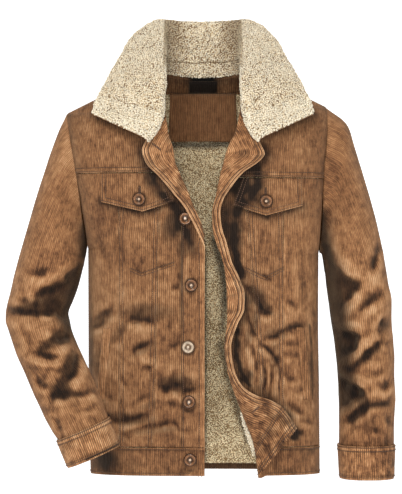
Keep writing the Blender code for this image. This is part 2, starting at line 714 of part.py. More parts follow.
# A front's rows are close together above the corner that turns up and where the right lapel starts to turn.
BAND_ROWS = steps(HEM, BAND, 3)
PANEL_ROWS = sorted(steps(BAND, YOKE, 17) + [1.03, 1.735])
LAPEL_ROWS = steps(YOKE, GORGE, 4)
SHOULDER_ROWS = steps(GORGE, SHOULDER, 5)


def build_front(side):
    """The front's outer pieces: side, pocket and centre panels, placket, yoke and waistband."""
    sign = SIDES[side]
    out = Vector((sign * 0.5, -1, 0))
    low = BAND + ROW_GAP["front"]
    high = YOKE - ROW_GAP["front"]
    rows = [low] + PANEL_ROWS[1:-1] + [high]
    spans = {"side": (SIDE, OUTER - COL_GAP), "pocket": (OUTER + COL_GAP, INNER - COL_GAP),
             "centre": (INNER + COL_GAP, PLACKET - COL_GAP)}
    for name, (first, last) in spans.items():
        grid = front_grid(side, rows, column_list(first, last))
        shell(f"front_{name}_{side}", grid, CLOTH, out, corduroy)
    placket_rows = [low] + PANEL_ROWS[1:-1] + LAPEL_ROWS
    grid = front_grid(side, placket_rows, column_list(PLACKET + COL_GAP, EDGE))
    shell(f"placket_{side}", grid, CLOTH, OUT, corduroy)
    yoke_rows = [YOKE + ROW_GAP["yoke"]] + LAPEL_ROWS[1:] + SHOULDER_ROWS[1:]
    grid = front_grid(side, yoke_rows, column_list(SIDE, PLACKET - COL_GAP))
    shell(f"front_yoke_{side}", grid, CLOTH, out, corduroy)
    band_rows = BAND_ROWS[:-1] + [BAND - ROW_GAP["band"]]
    columns = column_list(SIDE, EDGE)
    grid = front_grid(side, band_rows, columns)
    turned = columns.index(TURN)
    grid[-1, turned:] = mix(grid[-1, turned:], grid[-2, turned:], TURNED_CORNER_GAP)
    shell(f"waistband_front_{side}", grid, CLOTH, out, corduroy)


def build_front_inside(side):
    """The facing that turns out with the edge, and the lining between it and the side seam."""
    inward = Vector((0, 1, 0))
    columns = [FACING_COLUMN, PLACKET] + column_list(TURN, EDGE)
    rows = BAND_ROWS[:-1] + PANEL_ROWS[:-1] + LAPEL_ROWS + [r for r in SHOULDER_ROWS[1:] if r < FACING_TOP]
    grid = shift(front_grid(side, rows, columns), 2 * SEAM_GAP, inward)
    turned = columns.index(TURN) - 1
    top = rows.index(GORGE)
    shell(f"facing_{side}", grid, CLOTH, inward, corduroy, keep=lambda i, j: j < turned or i < top)
    lining_rows = [LINING_ABOVE_HEM / WAISTBAND] + steps(BAND, YOKE, 17)[0:16:2] + LAPEL_ROWS[::2]
    lining_rows += [r for r in SHOULDER_ROWS[1:] if r < LINING_TOP]
    lining_columns = [LINING_SIDE] + column_list(1 / COLUMNS["side"], FACING_COLUMN - LINING_GAP)
    lining = front_grid(side, lining_rows, lining_columns, folded=False)
    clearance = lining_clearance(lining, meets_facing=True)
    shell(f"lining_front_{side}", shift(lining, clearance, inward), PILE, inward, sherpa)


BACK_COLUMNS = sorted(steps(-1, 1, 20) + [-0.05, 0.05])
BACK_ROWS = steps(BAND, 2, 10)[:-1] + steps(2, 3, 6)


def build_back():
    out = Vector((-1, 1, 0))
    rows = [BAND + ROW_GAP["front"]] + BACK_ROWS[1:]
    shell("back", back_grid(rows, BACK_COLUMNS), CLOTH, out, corduroy)
    band_rows = steps(HEM, BAND - ROW_GAP["band"], 2)
    shell("waistband_back", back_grid(band_rows, BACK_COLUMNS), CLOTH, out, corduroy)
    lining_rows = [LINING_ABOVE_HEM / WAISTBAND] + BACK_ROWS[:10:2] + BACK_ROWS[10:-1]
    lining_columns = [-BACK_LINING_REACH] + BACK_COLUMNS[1:-1] + [BACK_LINING_REACH]
    inward = Vector((1, -1, 0))
    lining = back_grid(lining_rows, lining_columns, lining=True)
    shell("lining_back", shift(lining, lining_clearance(lining), inward), PILE, inward, sherpa)


PATCH_HALF = 0.060
PATCH_TOP_Z = -0.004
PATCH_HEIGHT = 0.081
PATCH_CORNER = 0.010
PATCH_CLEAR = 0.0030
LOOP_HALF = 0.025
NECK_BAND_FOOT = 0.30  # how far its lower edge and its ends draw in, as a share of the back's row or column
NECK_BAND_END = 0.85
BAND_STAND = 0.0021
LOOP_STAND = 0.0052
LOOP_BOW = 0.0035
LOOP_HEIGHTS = (0.0125, 0.0175)


def build_neck_inside():
    """The band behind the neck, the hanger loop on it and the patch below it."""
    inward = Vector((0, -1, 0))
    band = back_grid(BACK_ROWS[-3:], BACK_COLUMNS[8:15])
    band[0] = mix(band[0], band[1], NECK_BAND_FOOT)
    band[:, 0] = mix(band[:, 0], band[:, 1], NECK_BAND_END)
    band[:, -1] = mix(band[:, -1], band[:, -2], NECK_BAND_END)
    shell("neck_band", shift(band, BAND_STAND, inward), CLOTH, inward, corduroy)
    loop_columns = steps(-LOOP_HALF, LOOP_HALF, 8)
    loop = np.array([[body_point("back", x, z) for x in loop_columns] for z in LOOP_HEIGHTS])
    loop = shift(loop, LOOP_STAND, inward)
    for k, x in enumerate(loop_columns):
        loop[:, k, 1] -= LOOP_BOW * max(1 - (x / (LOOP_HALF * 0.8)) ** 2, 0)
    shell("hanger_loop", loop, CLOTH, inward, corduroy)
    patch = []
    for height in (0, 0.04, 0.10, 0.4, 0.7, 0.92, 1):
        z = PATCH_TOP_Z - PATCH_HEIGHT * height
        foot = max(0, PATCH_HEIGHT * height - PATCH_HEIGHT + PATCH_CORNER)
        pulled = PATCH_CORNER - math.sqrt(max(PATCH_CORNER**2 - foot**2, 0))
        half = PATCH_HALF - pulled
        patch.append([body_point("back", x, z) for x in steps(-half, half, 8)])
    patch = shift(np.array(patch), LINING_NEAR + PILE + PATCH_CLEAR, inward)
    shell("neck_patch", patch, CLOTH, inward, patch_cloth)


# The chest pocket flaps: the sides' x, the top, the height of the sides and of the point.
FLAPS = {
    "right": {"outer": 0.1660, "inner": 0.0470, "point": 0.0990, "top": -0.1500, "side": 0.046, "tip": 0.062},
    "left": {"outer": 0.1615, "inner": 0.0480, "point": 0.1025, "top": -0.1585, "side": 0.044, "tip": 0.060},
}
# A welt covers the slit of a side pocket: its top and foot as x and z, and its width.
WELTS = {
    "right": {"top": (0.164, -0.405), "foot": (0.176, -0.527), "wide": 0.013},
    "left": {"top": (0.167, -0.405), "foot": (0.179, -0.527), "wide": 0.013},
}
FLAP_LIFT = CLOTH + 2 * SEAM_GAP
FLAP_BULGE = 0.0012
FLAP_SLANT = 0.015  # the inner end of a flap slopes away under the lapel


def build_flap(side):
    """A pocket flap with a pointed foot, lying on the panels below the yoke seam."""
    flap, sign = FLAPS[side], SIDES[side]
    grid = []
    for down in (0, 0.35, 0.7, 1):
        row = []
        for across in (0, 0.08, 0.3, 0.53, 0.76, 0.92, 1):
            x = mix(flap["outer"], flap["inner"] + FLAP_SLANT * (1 - down), across)
            reach = flap["outer"] - flap["point"] if x > flap["point"] else flap["point"] - flap["inner"]
            depth = mix(flap["tip"], flap["side"], abs(x - flap["point"]) / reach)
            bulge = FLAP_BULGE * math.sin(math.pi * across) * down
            row.append(body_point("front", sign * x, flap["top"] - depth * down, bulge))
        grid.append(row)
    grid = shift(np.array(grid), FLAP_LIFT, OUT)
    shell(f"pocket_flap_{side}", grid, DOUBLE_CLOTH, OUT, corduroy)


def build_welt(side):
    welt, sign = WELTS[side], SIDES[side]
    grid = []
    for down in steps(0, 1, 8):
        x = mix(welt["top"][0], welt["foot"][0], down)
        z = mix(welt["top"][1], welt["foot"][1], down)
        grid.append([body_point("front", sign * (x - welt["wide"] * across), z) for across in (0, 0.5, 1)])
    out = Vector((sign * 0.7, -0.7, 0))
    shell(f"pocket_welt_{side}", shift(np.array(grid), FLAP_LIFT, out), CLOTH, out, corduroy)


ON_PLACKET = 0.0018
ON_FLAP = 0.0055
# Where each button sits, as x and z on the front, and how far its foot stands off the body's surface.
BUTTONS = {
    "button_1": (-0.0290, -0.2240, ON_PLACKET),
    "button_2": (-0.0196, -0.3321, ON_PLACKET),
    "button_3": (-0.0245, -0.4351, ON_PLACKET),
    "button_4": (-0.0229, -0.5283, ON_PLACKET),
    "button_5": (-0.0212, -0.6260, ON_PLACKET),
    "flap_button_right": (-0.1035, -0.1920, ON_FLAP),
    "flap_button_left": (0.1020, -0.1950, ON_FLAP),
}
# The turned profile of a button: distance from its middle and height, from the foot to the face's middle.
BUTTON_PROFILE = ((0, 0), (0.80, 0), (1, 0.45), (0.90, 0.95), (0.68, 1), (0.56, 0.62), (0, 0.50))


def build_button(name):
    """A button with a raised rim and a sunken middle, standing on the cloth."""
    x, z, stand = BUTTONS[name]
    grid = np.array([[body_point("front", x + dx, z + dz) for dx in (-0.01, 0, 0.01)]
                     for dz in (-0.01, 0, 0.01)])
    normal = Vector(normals(grid)[1, 1] * facing(grid, OUT))
    builder = bmesh.new()
    corners = [(BUTTON_RADIUS * r, 0, BUTTON_HEIGHT * h) for r, h in BUTTON_PROFILE]
    verts = [builder.verts.new(corner) for corner in corners]
    for a, b in zip(verts, verts[1:]):
        builder.edges.new((a, b))
    bmesh.ops.spin(builder, geom=builder.verts[:] + builder.edges[:], cent=(0, 0, 0), axis=(0, 0, 1),
                   angle=2 * math.pi, steps=14, use_duplicate=False)
    bmesh.ops.remove_doubles(builder, verts=builder.verts, dist=0.00001)
    bmesh.ops.recalc_face_normals(builder, faces=builder.faces)
    button = new_object(name, builder, horn)
    turn = normal.to_track_quat("Z", "Y").to_matrix().to_4x4()
    button.matrix_world = Matrix.Translation(Vector(grid[1, 1]) + normal * stand) @ turn


def build_sleeve(side):
    """A sleeve cut in two, with both seams a little behind its sides, and its cuff."""
    forward = Vector((SIDES[side] * 0.3, -1, 0.3))
    backward = Vector((-SIDES[side] * 0.3, 1, 0))
    sleeve = sleeve_grid(side)
    for name, first, last, out in (("top", SLEEVE_SEAMS[1] - SLEEVE_SIDES, SLEEVE_SEAMS[0], forward),
                                   ("under", *SLEEVE_SEAMS, backward)):
        panel = sleeve[:, [k % SLEEVE_SIDES for k in range(first, last + 1)]]
        panel[:, 0] = mix(panel[:, 0], panel[:, 1], SLEEVE_SEAM_GAP)
        panel[:, -1] = mix(panel[:, -1], panel[:, -2], SLEEVE_SEAM_GAP)
        shell(f"sleeve_{name}_{side}", panel, CLOTH, out, corduroy)
    shell(f"cuff_{side}", cuff_grid(side), DOUBLE_CLOTH, forward, corduroy, ring=True)


def build_collar():
    """The sherpa leaf and, under it, the corduroy that faces the shoulders."""
    grid = collar_grid()
    inside = Vector((0.5, -1, 0))
    shell("collar_under", grid, CLOTH, -inside, corduroy)
    shell("collar_sherpa", shift(grid, 2 * SEAM_GAP, inside), COLLAR_PILE, inside, sherpa)


for item in list(bpy.data.objects):
    bpy.data.objects.remove(item, do_unlink=True)
jacket = bpy.data.collections.new("sherpa_lined_jacket")
bpy.context.scene.collection.children.link(jacket)

corduroy = paint("corduroy", (0.30, 0.145, 0.062), 0.85)
sherpa = paint("sherpa", (0.68, 0.52, 0.34), 0.95)
patch_cloth = paint("patch_corduroy", (0.13, 0.058, 0.026), 0.85)
horn = paint("horn", (0.20, 0.09, 0.045), 0.25)

for side in SIDES:
    build_front(side)
    build_front_inside(side)
    build_flap(side)
    build_welt(side)
    build_sleeve(side)
build_back()
build_neck_inside()
build_collar()
for name in BUTTONS:
    build_button(name)
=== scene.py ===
import math
import bmesh
import bpy
import numpy as np
from mathutils import Matrix, Vector


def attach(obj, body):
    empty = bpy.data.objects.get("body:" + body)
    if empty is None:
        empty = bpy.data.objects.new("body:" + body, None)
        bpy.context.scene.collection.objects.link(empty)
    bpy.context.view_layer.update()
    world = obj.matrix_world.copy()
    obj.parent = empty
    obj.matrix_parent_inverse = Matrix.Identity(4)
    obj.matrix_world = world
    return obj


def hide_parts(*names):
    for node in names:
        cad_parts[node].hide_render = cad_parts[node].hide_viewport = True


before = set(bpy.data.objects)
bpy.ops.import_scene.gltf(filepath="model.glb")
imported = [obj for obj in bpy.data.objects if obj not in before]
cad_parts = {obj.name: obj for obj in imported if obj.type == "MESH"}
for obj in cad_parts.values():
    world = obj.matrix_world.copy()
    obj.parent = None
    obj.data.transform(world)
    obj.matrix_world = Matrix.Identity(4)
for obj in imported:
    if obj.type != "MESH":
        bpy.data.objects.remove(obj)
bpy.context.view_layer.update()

scene = bpy.context.scene
pi = math.pi
sides = {"right": -1, "left": 1}  # the wearer's sides along X


# small tools
def table(names, *rows):  # columns by name, given in tenths of a millimetre
    return dict(zip(names.split(), np.array(rows, float).T / 10000))


def pairs(run):  # points from a flat run of x and z in tenths of a millimetre
    return np.array(run).reshape(-1, 2) / 10000


def follow(xs, ys, x):  # the smooth curve through (xs, ys), without overshoot
    x = np.asarray(x, float)
    slope = np.diff(ys) / np.diff(xs)
    a, b = slope[:-1], slope[1:]
    middle = np.where(a * b > 0, 2 * a * b / np.where(a + b == 0, 1, a + b), 0)
    tangent = np.concatenate((slope[:1], middle, slope[-1:]))
    i = np.clip(np.searchsorted(xs, x) - 1, 0, len(xs) - 2)
    width = xs[i + 1] - xs[i]
    t = np.clip((x - xs[i]) / width, 0, 1)
    return ((1 + 2 * t) * (1 - t) ** 2 * ys[i] + t * (1 - t) ** 2 * width * tangent[i]
            + t * t * (3 - 2 * t) * ys[i + 1] + t * t * (t - 1) * width * tangent[i + 1])


def mix(a, b, t):
    return a + (b - a) * t


def ramp(low, high, x):
    t = np.clip((x - low) / (high - low), 0, 1)
    return t * t * (3 - 2 * t)


def hermite(a, leave, b, arrive, t):
    t = np.asarray(t, float)[..., None]
    return ((1 + 2 * t) * (1 - t) ** 2 * a + t * (1 - t) ** 2 * leave
            + t * t * (3 - 2 * t) * b + t * t * (t - 1) * arrive)


def cloudy(a, b, size, seed):  # smooth random field from -1 to 1
    rng = np.random.default_rng(seed)
    lattice = rng.uniform(-1, 1, (128, 128))
    a, b = np.asarray(a) / size + 37.3, np.asarray(b) / size + 53.7
    i, j = np.floor(a).astype(int), np.floor(b).astype(int)
    s, t = a - i, b - j
    s, t = s * s * (3 - 2 * s), t * t * (3 - 2 * t)
    pick = lambda p, q: lattice[p % 128, q % 128]
    return mix(mix(pick(i, j), pick(i + 1, j), s), mix(pick(i, j + 1), pick(i + 1, j + 1), s), t)


def evenly(start, end, count):
    return np.linspace(start, end, count + 1)


def spaced(start, *steps):  # even runs one after another, each given by its end and its count
    out = evenly(start, *steps[:2])
    for end, count in zip(steps[2::2], steps[3::2]):
        out = np.concatenate((out, evenly(out[-1], end, count)[1:]))
    return out


def fade(away, reach, power):
    return np.exp(-(away / reach) ** power)


def runOf(points, axis):  # the length from the start, along one axis of a grid or path
    step = np.linalg.norm(np.diff(points, axis=axis), axis=-1)
    return np.concatenate((np.zeros_like(step.take([0], axis)), np.cumsum(step, axis=axis)), axis=axis)


def creaseHeight(creases, x, z, seed=1):
    height = np.zeros(np.broadcast(x, z).shape)
    for k, (width, depth, *path) in enumerate(creases):
        path, width, depth = pairs(path), 1.25 * width / 1000, depth / 1000
        near = (x > path[:, 0].min() - 4 * width) & (x < path[:, 0].max() + 4 * width)
        near &= (z > path[:, 1].min() - 4 * width) & (z < path[:, 1].max() + 4 * width)
        if not near.any():
            continue
        px = x[near] + 0.25 * width * cloudy(x[near], z[near], 0.014, seed + k)
        pz = z[near] + 0.25 * width * cloudy(x[near], z[near], 0.011, seed + k + 40)
        lengths = np.linalg.norm(np.diff(path, axis=0), axis=1)
        total, before = lengths.sum(), 0.0
        best, side, share = np.full(px.shape, 9.0), np.ones(px.shape), np.zeros(px.shape)
        for (x0, z0), (x1, z1), length in zip(path[:-1], path[1:], lengths):
            dx, dz = (x1 - x0) / length, (z1 - z0) / length
            t = np.clip((px - x0) * dx + (pz - z0) * dz, 0, length)
            ox, oz = px - x0 - t * dx, pz - z0 - t * dz
            away = np.hypot(ox, oz)
            closer = away < best
            best = np.where(closer, away, best)
            side = np.where(closer, np.where(oz * dx - ox * dz > 0, 1, -1), side)
            share = np.where(closer, (before + t) / total, share)
            before += length
        taper = np.sin(pi * np.clip(0.06 + 0.88 * share, 0, 1)) ** 0.8
        taper = taper * (1 + 0.35 * cloudy(share * 7 + k, share * 0, 1.0, seed + 80))
        soft = np.exp(-(best / (1.5 * width)) ** 1.15)
        sharp = np.exp(-((best / (0.62 * width)) ** 1.3)) - 0.3 * fade(best / width - 1.35, 0.7, 2)
        height[near] -= depth * taper * np.where(side > 0, soft, sharp)
    return height


def plainFolds(folds, x, z):  # the solids' own folds
    height = np.zeros(np.broadcast(x, z).shape)
    for x0, z0, x1, z1, width, rise in zip(*(folds[k] for k in foldColumns.split())):
        along = ((x - x0) * (x1 - x0) + (z - z0) * (z1 - z0)) / ((x1 - x0) ** 2 + (z1 - z0) ** 2)
        t = np.clip(along, 0, 1)
        height += rise * np.exp(-((x - mix(x0, x1, t)) ** 2 + (z - mix(z0, z1, t)) ** 2) / width**2)
    return height


# the body's surface, the same as the solids'
body = {
    "cloth": 0.0016, "pile": 0.004, "seamGap": 0.0003,
    "hemZ": -0.653, "hemTilt": 0.07, "hemTiltFromZ": -0.35, "waistband": 0.047,
    "yokeZ": {"right": -0.148, "left": -0.156}, "gorgeZ": -0.1,
    "neckPoint": (0.08, 0.03), "shoulderSlope": 0.5, "neckRise": 0.021, "neckBackZ": 0.023,
    "liningTopZ": 0.003, "backFanZ": -0.2, "sidePower": 2.5,
    "shoulderDrop": {"front": 0.2, "back": 0.12}, "shoulderPower": {"front": 2.0, "back": 2.2},
    "armholeDepth": {"front": 0.06, "back": 0.065},
    "armpitZ": {"right": -0.272, "left": -0.28},
    "crestLift": 0.009, "bend": 0.009, "leastStrip": 0.006,
}
cloth = body["cloth"]
halfWidths = {
    "right": table("z half", (-6600, 1890), (-5000, 1920), (-4000, 1925), (-2720, 1930), (-2050, 2005),
        (-1370, 2116), (-750, 2234), (-448, 2295)),
    "left": table("z half", (-6600, 1965), (-5000, 1950), (-4000, 1935), (-2800, 1940), (-2050, 1965),
        (-1370, 2000), (-750, 2060), (-338, 2075)),
}
depths = table("z front back", (-6600, 1050, 1050), (-5000, 1090, 1080), (-3500, 1150, 1130),
    (-2500, 1180, 1180), (-1500, 1160, 1200), (-500, 1130, 1200), (500, 1130, 1200))
frontEdges = {  # the cloth turns at the crest and ends at the edge, which stands proud by lift
    "right": table("z crest edge edgeZ lift", (-6600, -15, 25, -6600, 0), (-3050, -15, 25, -3050, 0),
        (-2880, -14, 26, -2880, 15), (-2740, -10, 20, -2740, 50), (-2610, -6, -20, -2610, 95),
        (-2490, -8, -75, -2490, 125), (-2275, -65, -180, -2275, 140), (-2010, -188, -330, -2010, 140),
        (-1820, -262, -490, -1820, 130), (-1520, -400, -736, -1530, 120), (-1310, -490, -924, -1340, 120),
        (-1110, -523, -997, -1130, 110), (-1000, -550, -965, -1025, 110), (-850, -605, -880, -870, 90),
        (-700, -620, -790, -710, 65), (-540, -648, -730, -540, 40), (-380, -665, -690, -380, 20)),
    "left": table("z crest edge edgeZ lift", (-6600, 962, 1560, -5800, 240), (-6180, 900, 1357, -5447, 220),
        (-5905, 834, 1128, -5267, 200), (-5640, 719, 867, -5169, 190), (-5365, 615, 680, -5050, 180),
        (-5070, 507, 560, -4880, 160), (-4745, 417, 490, -4662, 140), (-4350, 365, 455, -4340, 120),
        (-3975, 409, 556, -3975, 120), (-3715, 417, 670, -3715, 120), (-3520, 414, 680, -3520, 120),
        (-3220, 392, 595, -3220, 120), (-2930, 343, 464, -2930, 120), (-2635, 237, 384, -2635, 120),
        (-2357, 172, 300, -2357, 120), (-2128, 172, 280, -2128, 120), (-1930, 213, 330, -1930, 120),
        (-1700, 262, 474, -1703, 120), (-1475, 319, 654, -1485, 120), (-1280, 384, 900, -1310, 120),
        (-1145, 425, 1004, -1180, 110), (-1000, 474, 940, -1025, 110), (-850, 555, 880, -870, 90),
        (-700, 590, 790, -710, 65), (-540, 615, 730, -540, 40), (-380, 650, 690, -380, 20)),
}
pocketSeams = {
    "right": {"outer": (0.1386, 0.1386), "inner": (0.0834, 0.069), "placket": (0.0352, 0.0352)},
    "left": {"outer": (0.134, 0.131), "inner": (0.105, 0.067), "placket": (0.0352, 0.0352)},
}
neckline = table("z x", (-1000, 660), (-700, 640), (-400, 650), (-100, 700), (150, 765), (300, 800))
foldColumns = "x0 z0 x1 z1 width height"
solidFolds = {
    "front": table(foldColumns, (-1200, -3850, -780, -3620, 100, -40),
        (-1760, -3950, -1500, -3720, 90, -35), (-1460, -4320, -1250, -3880, 90, 40),
        (-1100, -4400, -840, -4250, 80, -35), (-920, -4750, -140, -5000, 110, -45),
        (-980, -4550, -750, -4680, 80, 35), (-1460, -5500, -860, -5700, 100, -40),
        (-1140, -5660, -330, -5720, 90, 35), (730, -3400, 970, -3780, 100, -45),
        (780, -3830, 1000, -4360, 90, 45), (1000, -4360, 1220, -4200, 80, -35),
        (1030, -4370, 1200, -4600, 80, -35), (850, -4850, 800, -5300, 90, 40),
        (1040, -4800, 1040, -5250, 70, -35), (1180, -4750, 1180, -5200, 70, 30),
        (1650, -3950, 1410, -4020, 80, -30)),
    "back": table(foldColumns, (-1600, -3300, -900, -3950, 140, 45),
        (-1500, -4550, -600, -4900, 130, -40), (-1650, -5450, -800, -5650, 120, 40),
        (-400, -5200, 500, -5450, 130, -35), (1650, -3500, 950, -4100, 140, 45),
        (1550, -4700, 700, -5000, 130, -40), (1600, -5600, 900, -5750, 120, 35),
        (-1500, -1500, -1050, -2400, 160, -35), (1500, -1500, 1050, -2400, 160, -35)),
}
creases = {  # width and depth in mm, then the path; the cloth sinks slowly on its left and rises at once
    # on its right; the wearer's right front comes first
    "front": ((9, 5.5, -1243, -3861, -1144, -3885, -997, -3910, -752, -3894),
        (6, 2.2, -1488, -4400, -1390, -4204, -1292, -4024, -1243, -3877),
        (6, 4, -1848, -4073, -1684, -3975, -1488, -3746), (3.5, 2, -1831, -3943, -1619, -3779),
        (4.5, 3.2, -1185, -4498, -1095, -4376, -948, -4335, -850, -4237),
        (3, 2.2, -965, -4646, -875, -4727, -785, -4646),
        (9, 5.5, -736, -4858, -687, -4973, -621, -5054, -540, -5014, -376, -5030, -311, -5103, -98, -5071),
        (6, 3.4, -1504, -5659, -1194, -5602, -867, -5496),
        (5, 3.2, -1161, -5757, -932, -5708, -654, -5668, -490, -5651, -376, -5741, -245, -5774),
        (4, 1.9, -1390, -5806, -1177, -5905), (6, 2.6, -1733, -5512, -1488, -5594),
        (5, 1.6, -1128, -5332, -948, -5193, -818, -5169), (5, 2.2, -352, -3616, -376, -3240, -352, -2814),
        (3, 1.6, -523, -3419, -392, -3354), (5, 1.8, -1733, -4809, -1635, -4580, -1717, -4286),
        (7, 1.2, -1259, -2945, -1390, -2520), (5, 1.8, -1717, -5136, -1472, -5267),
        (5, 1.6, -605, -4057, -441, -3861), (6, 1.4, -703, -4417, -441, -4319, -343, -4188),
        (4, 1.4, -1390, -4842, -1226, -5071), (5, 1.4, -638, -5267, -441, -5365),
        (3, 1.6, -311, -4417, -114, -4384), (4, 1.8, -1324, -5218, -1406, -5398),
        (6, 1.2, -867, -2520, -768, -2880), (7, 1.2, -1717, -2455, -1619, -2945),
        (7, 5, 670, -3338, 785, -3436, 883, -3550, 965, -3755), (6, 3, 965, -3771, 1046, -3763, 1161, -3665),
        (6, 4.2, 703, -3714, 801, -4041, 891, -4212, 956, -4319),
        (5, 3, 956, -4319, 1030, -4196, 1161, -4188, 1259, -4106, 1422, -4049, 1668, -4000),
        (4.5, 3.4, 948, -4302, 1079, -4425, 1185, -4531, 1210, -4629, 1144, -4727),
        (3.5, 2.8, 965, -4629, 1030, -4842, 981, -5071, 932, -5218),
        (3, 2.4, 1104, -4629, 1120, -4940, 1087, -5218), (3.5, 2.4, 1234, -4580, 1259, -4907, 1234, -5267),
        (5, 3.4, 785, -4302, 867, -4613, 867, -4940), (3, 1.8, 1324, -4793, 1439, -4940, 1537, -4915),
        (5, 2.8, 1341, -5267, 1553, -5463, 1733, -5545), (3, 2, 1521, -5806, 1668, -5856),
        (3.5, 1.5, 1341, -4147, 1651, -4122), (3, 1.2, 1324, -4310, 1586, -4343),
        (3, 1.2, 1357, -4498, 1619, -4515), (6, 1.6, 1586, -2716, 1635, -3338, 1684, -3861),
        (6, 1.6, 1798, -3567, 1848, -4221), (5, 1.6, 1521, -5071, 1733, -5169),
        (6, 1.2, 965, -2422, 899, -2945), (6, 1.2, 1455, -2520, 1390, -2945),
        (4, 1.6, 965, -3141, 1128, -3272), (4, 1.8, 1570, -5594, 1815, -5692),
        (5, 1.6, 1341, -3567, 1553, -3730), (5, 1.4, 1782, -4548, 1831, -5136)),
    "back": ((9, 4.5, -1650, -3600, -1300, -3820, -900, -3950),
        (7, 3.2, -1500, -4560, -1150, -4680, -700, -4640), (6, 3, -1400, -5250, -1050, -5330, -750, -5280),
        (8, 3.6, -600, -5560, -200, -5660, 350, -5590), (5, 2.2, -1720, -5700, -1250, -5900),
        (6, 2, -300, -4850, 350, -4930), (8, 4.2, 900, -4180, 1300, -4050, 1620, -3760),
        (6, 3.2, 650, -5130, 1000, -5210, 1450, -5070), (6, 2.6, 150, -5780, 500, -5700, 850, -5720),
        (5, 2.2, 1250, -5860, 1680, -5640), (9, 1.6, 100, -4300, 600, -4080),
        (10, 1.4, -700, -2200, -850, -1300), (10, 1.4, 700, -1300, 600, -2300),
        (9, 1.2, -150, -2500, 100, -3300), (5, 1.8, 1720, -3200, 1400, -3400),
        (5, 1.8, -1400, -3250, -1720, -3080), (4, 1.8, -950, -4300, -700, -4180),
        (4, 1.8, 1050, -4450, 1250, -4650)),
}


def halfWidth(side, z):
    return follow(halfWidths[side]["z"], halfWidths[side]["half"], z)


def shoulderTop(side):
    return halfWidths[side]["z"][-1]


def ridgeZ(x):
    neckX, neckZ = body["neckPoint"]
    outside = neckZ - (np.abs(x) - neckX) * body["shoulderSlope"]
    return np.where(np.abs(x) >= neckX, outside, neckZ + body["neckRise"] * (1 - (x / neckX) ** 2))


def armholeReach(side, face, z):
    top, bottom = shoulderTop(side), body["armpitZ"][side]
    across = np.clip((2 * z - top - bottom) / (top - bottom), -1, 1)
    return body["armholeDepth"][face] * np.sqrt(1 - across * across)


def bodyDepth(face, x, z):
    left = np.asarray(x) >= 0
    power = body["shoulderPower"][face]
    drop = np.clip((ridgeZ(x) - z) / body["shoulderDrop"][face], 0, 1)
    rounding = (1 - (1 - drop) ** power) ** (1 / power)
    seam = np.where(left, armholeReach("left", face, z), armholeReach("right", face, z))
    half = np.where(left, halfWidth("left", z), halfWidth("right", z))
    across = np.clip(np.abs(x) / half, 0, 1)
    bulge = (1 - across ** body["sidePower"]) ** (1 / body["sidePower"])
    return seam + (follow(depths["z"], depths[face], z) * rounding - seam) * bulge


def bodyPoints(face, x, z, lift=0, folded=True):
    x, z = np.broadcast_arrays(np.asarray(x, float), np.asarray(z, float))
    sign = -1 if face == "front" else 1
    depth = bodyDepth(face, x, z)
    height = np.zeros(x.shape)
    if folded:
        height = ramp(0, 0.04, depth) * 0.45 * plainFolds(solidFolds[face], x, z)
        height += ramp(0, 0.05, depth) * 1.55 * creaseHeight(creases[face], x, z)
        height += ramp(0, 0.03, depth) * (0.001 * cloudy(x, z, 0.055, 3) + 0.0005 * cloudy(x, z, 0.021, 5))
        height = np.maximum(height, 0) + 0.0068 * np.tanh(np.minimum(height, 0) / 0.0068)
    y = sign * (depth + body["seamGap"] / 2 + height + lift * ramp(0, 0.01, depth))
    tilt = body["hemTilt"] * y * (1 - ramp(body["hemZ"], body["hemTiltFromZ"], z))
    return np.stack((x, y, z - tilt), axis=-1), height


def angleOf(x, half):
    return np.arcsin(np.clip(np.abs(x) / half, 0, 1) ** (body["sidePower"] / 2))


def xAt(angle, half):
    return half * np.sin(angle) ** (2 / body["sidePower"])


arcAngles = evenly(0, pi / 2, 400)  # cloth length from the middle, by angle, on a plain section
arcX = 0.1935 * np.sin(arcAngles) ** (2 / 2.5)
arcY = 0.115 * np.clip(1 - (arcX / 0.1935) ** 2.5, 0, 1) ** (1 / 2.5)
arcLength = np.concatenate(([0], np.cumsum(np.hypot(np.diff(arcX), np.diff(arcY)))))


def clothAcross(angle):
    return np.interp(angle, arcAngles, arcLength)


# The fronts' grid: row 0 hem, 1 waistband seam, 2 yoke seam, 3 gorge, 4 shoulder seam; col 0 side seam or
# armhole, 1 and 2 pocket seams, 3 placket seam or neckline, 4 start of the turn, 5 its crest, 6 the edge

def rowHeights(side, row):
    seamZ = body["hemZ"] + body["waistband"]
    near = (body["hemZ"], seamZ, body["yokeZ"][side], body["gorgeZ"], body["neckPoint"][1])
    far = (*near[:3], body["gorgeZ"] - 0.005, shoulderTop(side))
    i = min(int(row), 3)
    t = row - i
    if i == 3:
        t = math.sin(t * pi / 2)
    return mix(near[i], near[i + 1], t), mix(far[i], far[i + 1], t)


def frontEdge(side, z):
    edges = frontEdges[side]
    row = {name: float(follow(edges["z"], edges[name], z)) for name in ("crest", "edge", "edgeZ", "lift")}
    row["crestLift"] = min(row["lift"] * 0.55, body["crestLift"])
    turned = min(row["crestLift"] / (0.55 * 0.011), 1)
    row["turn"] = row["crest"] + sides[side] * mix(0.004, body["bend"], turned)
    return row


def seamX(side, z):
    up = min((z - body["hemZ"]) / (body["yokeZ"][side] - body["hemZ"]), 1)
    seams = {name: mix(low, high, up) for name, (low, high) in pocketSeams[side].items()}
    turn = sides[side] * frontEdge(side, min(z, body["gorgeZ"]))["turn"]
    placket = max(seams["placket"], turn + body["leastStrip"])
    inner = max(seams["inner"], placket + body["leastStrip"])
    return placket, inner, seams["outer"]


def necklineX(z):
    return float(follow(neckline["z"], neckline["x"], z))


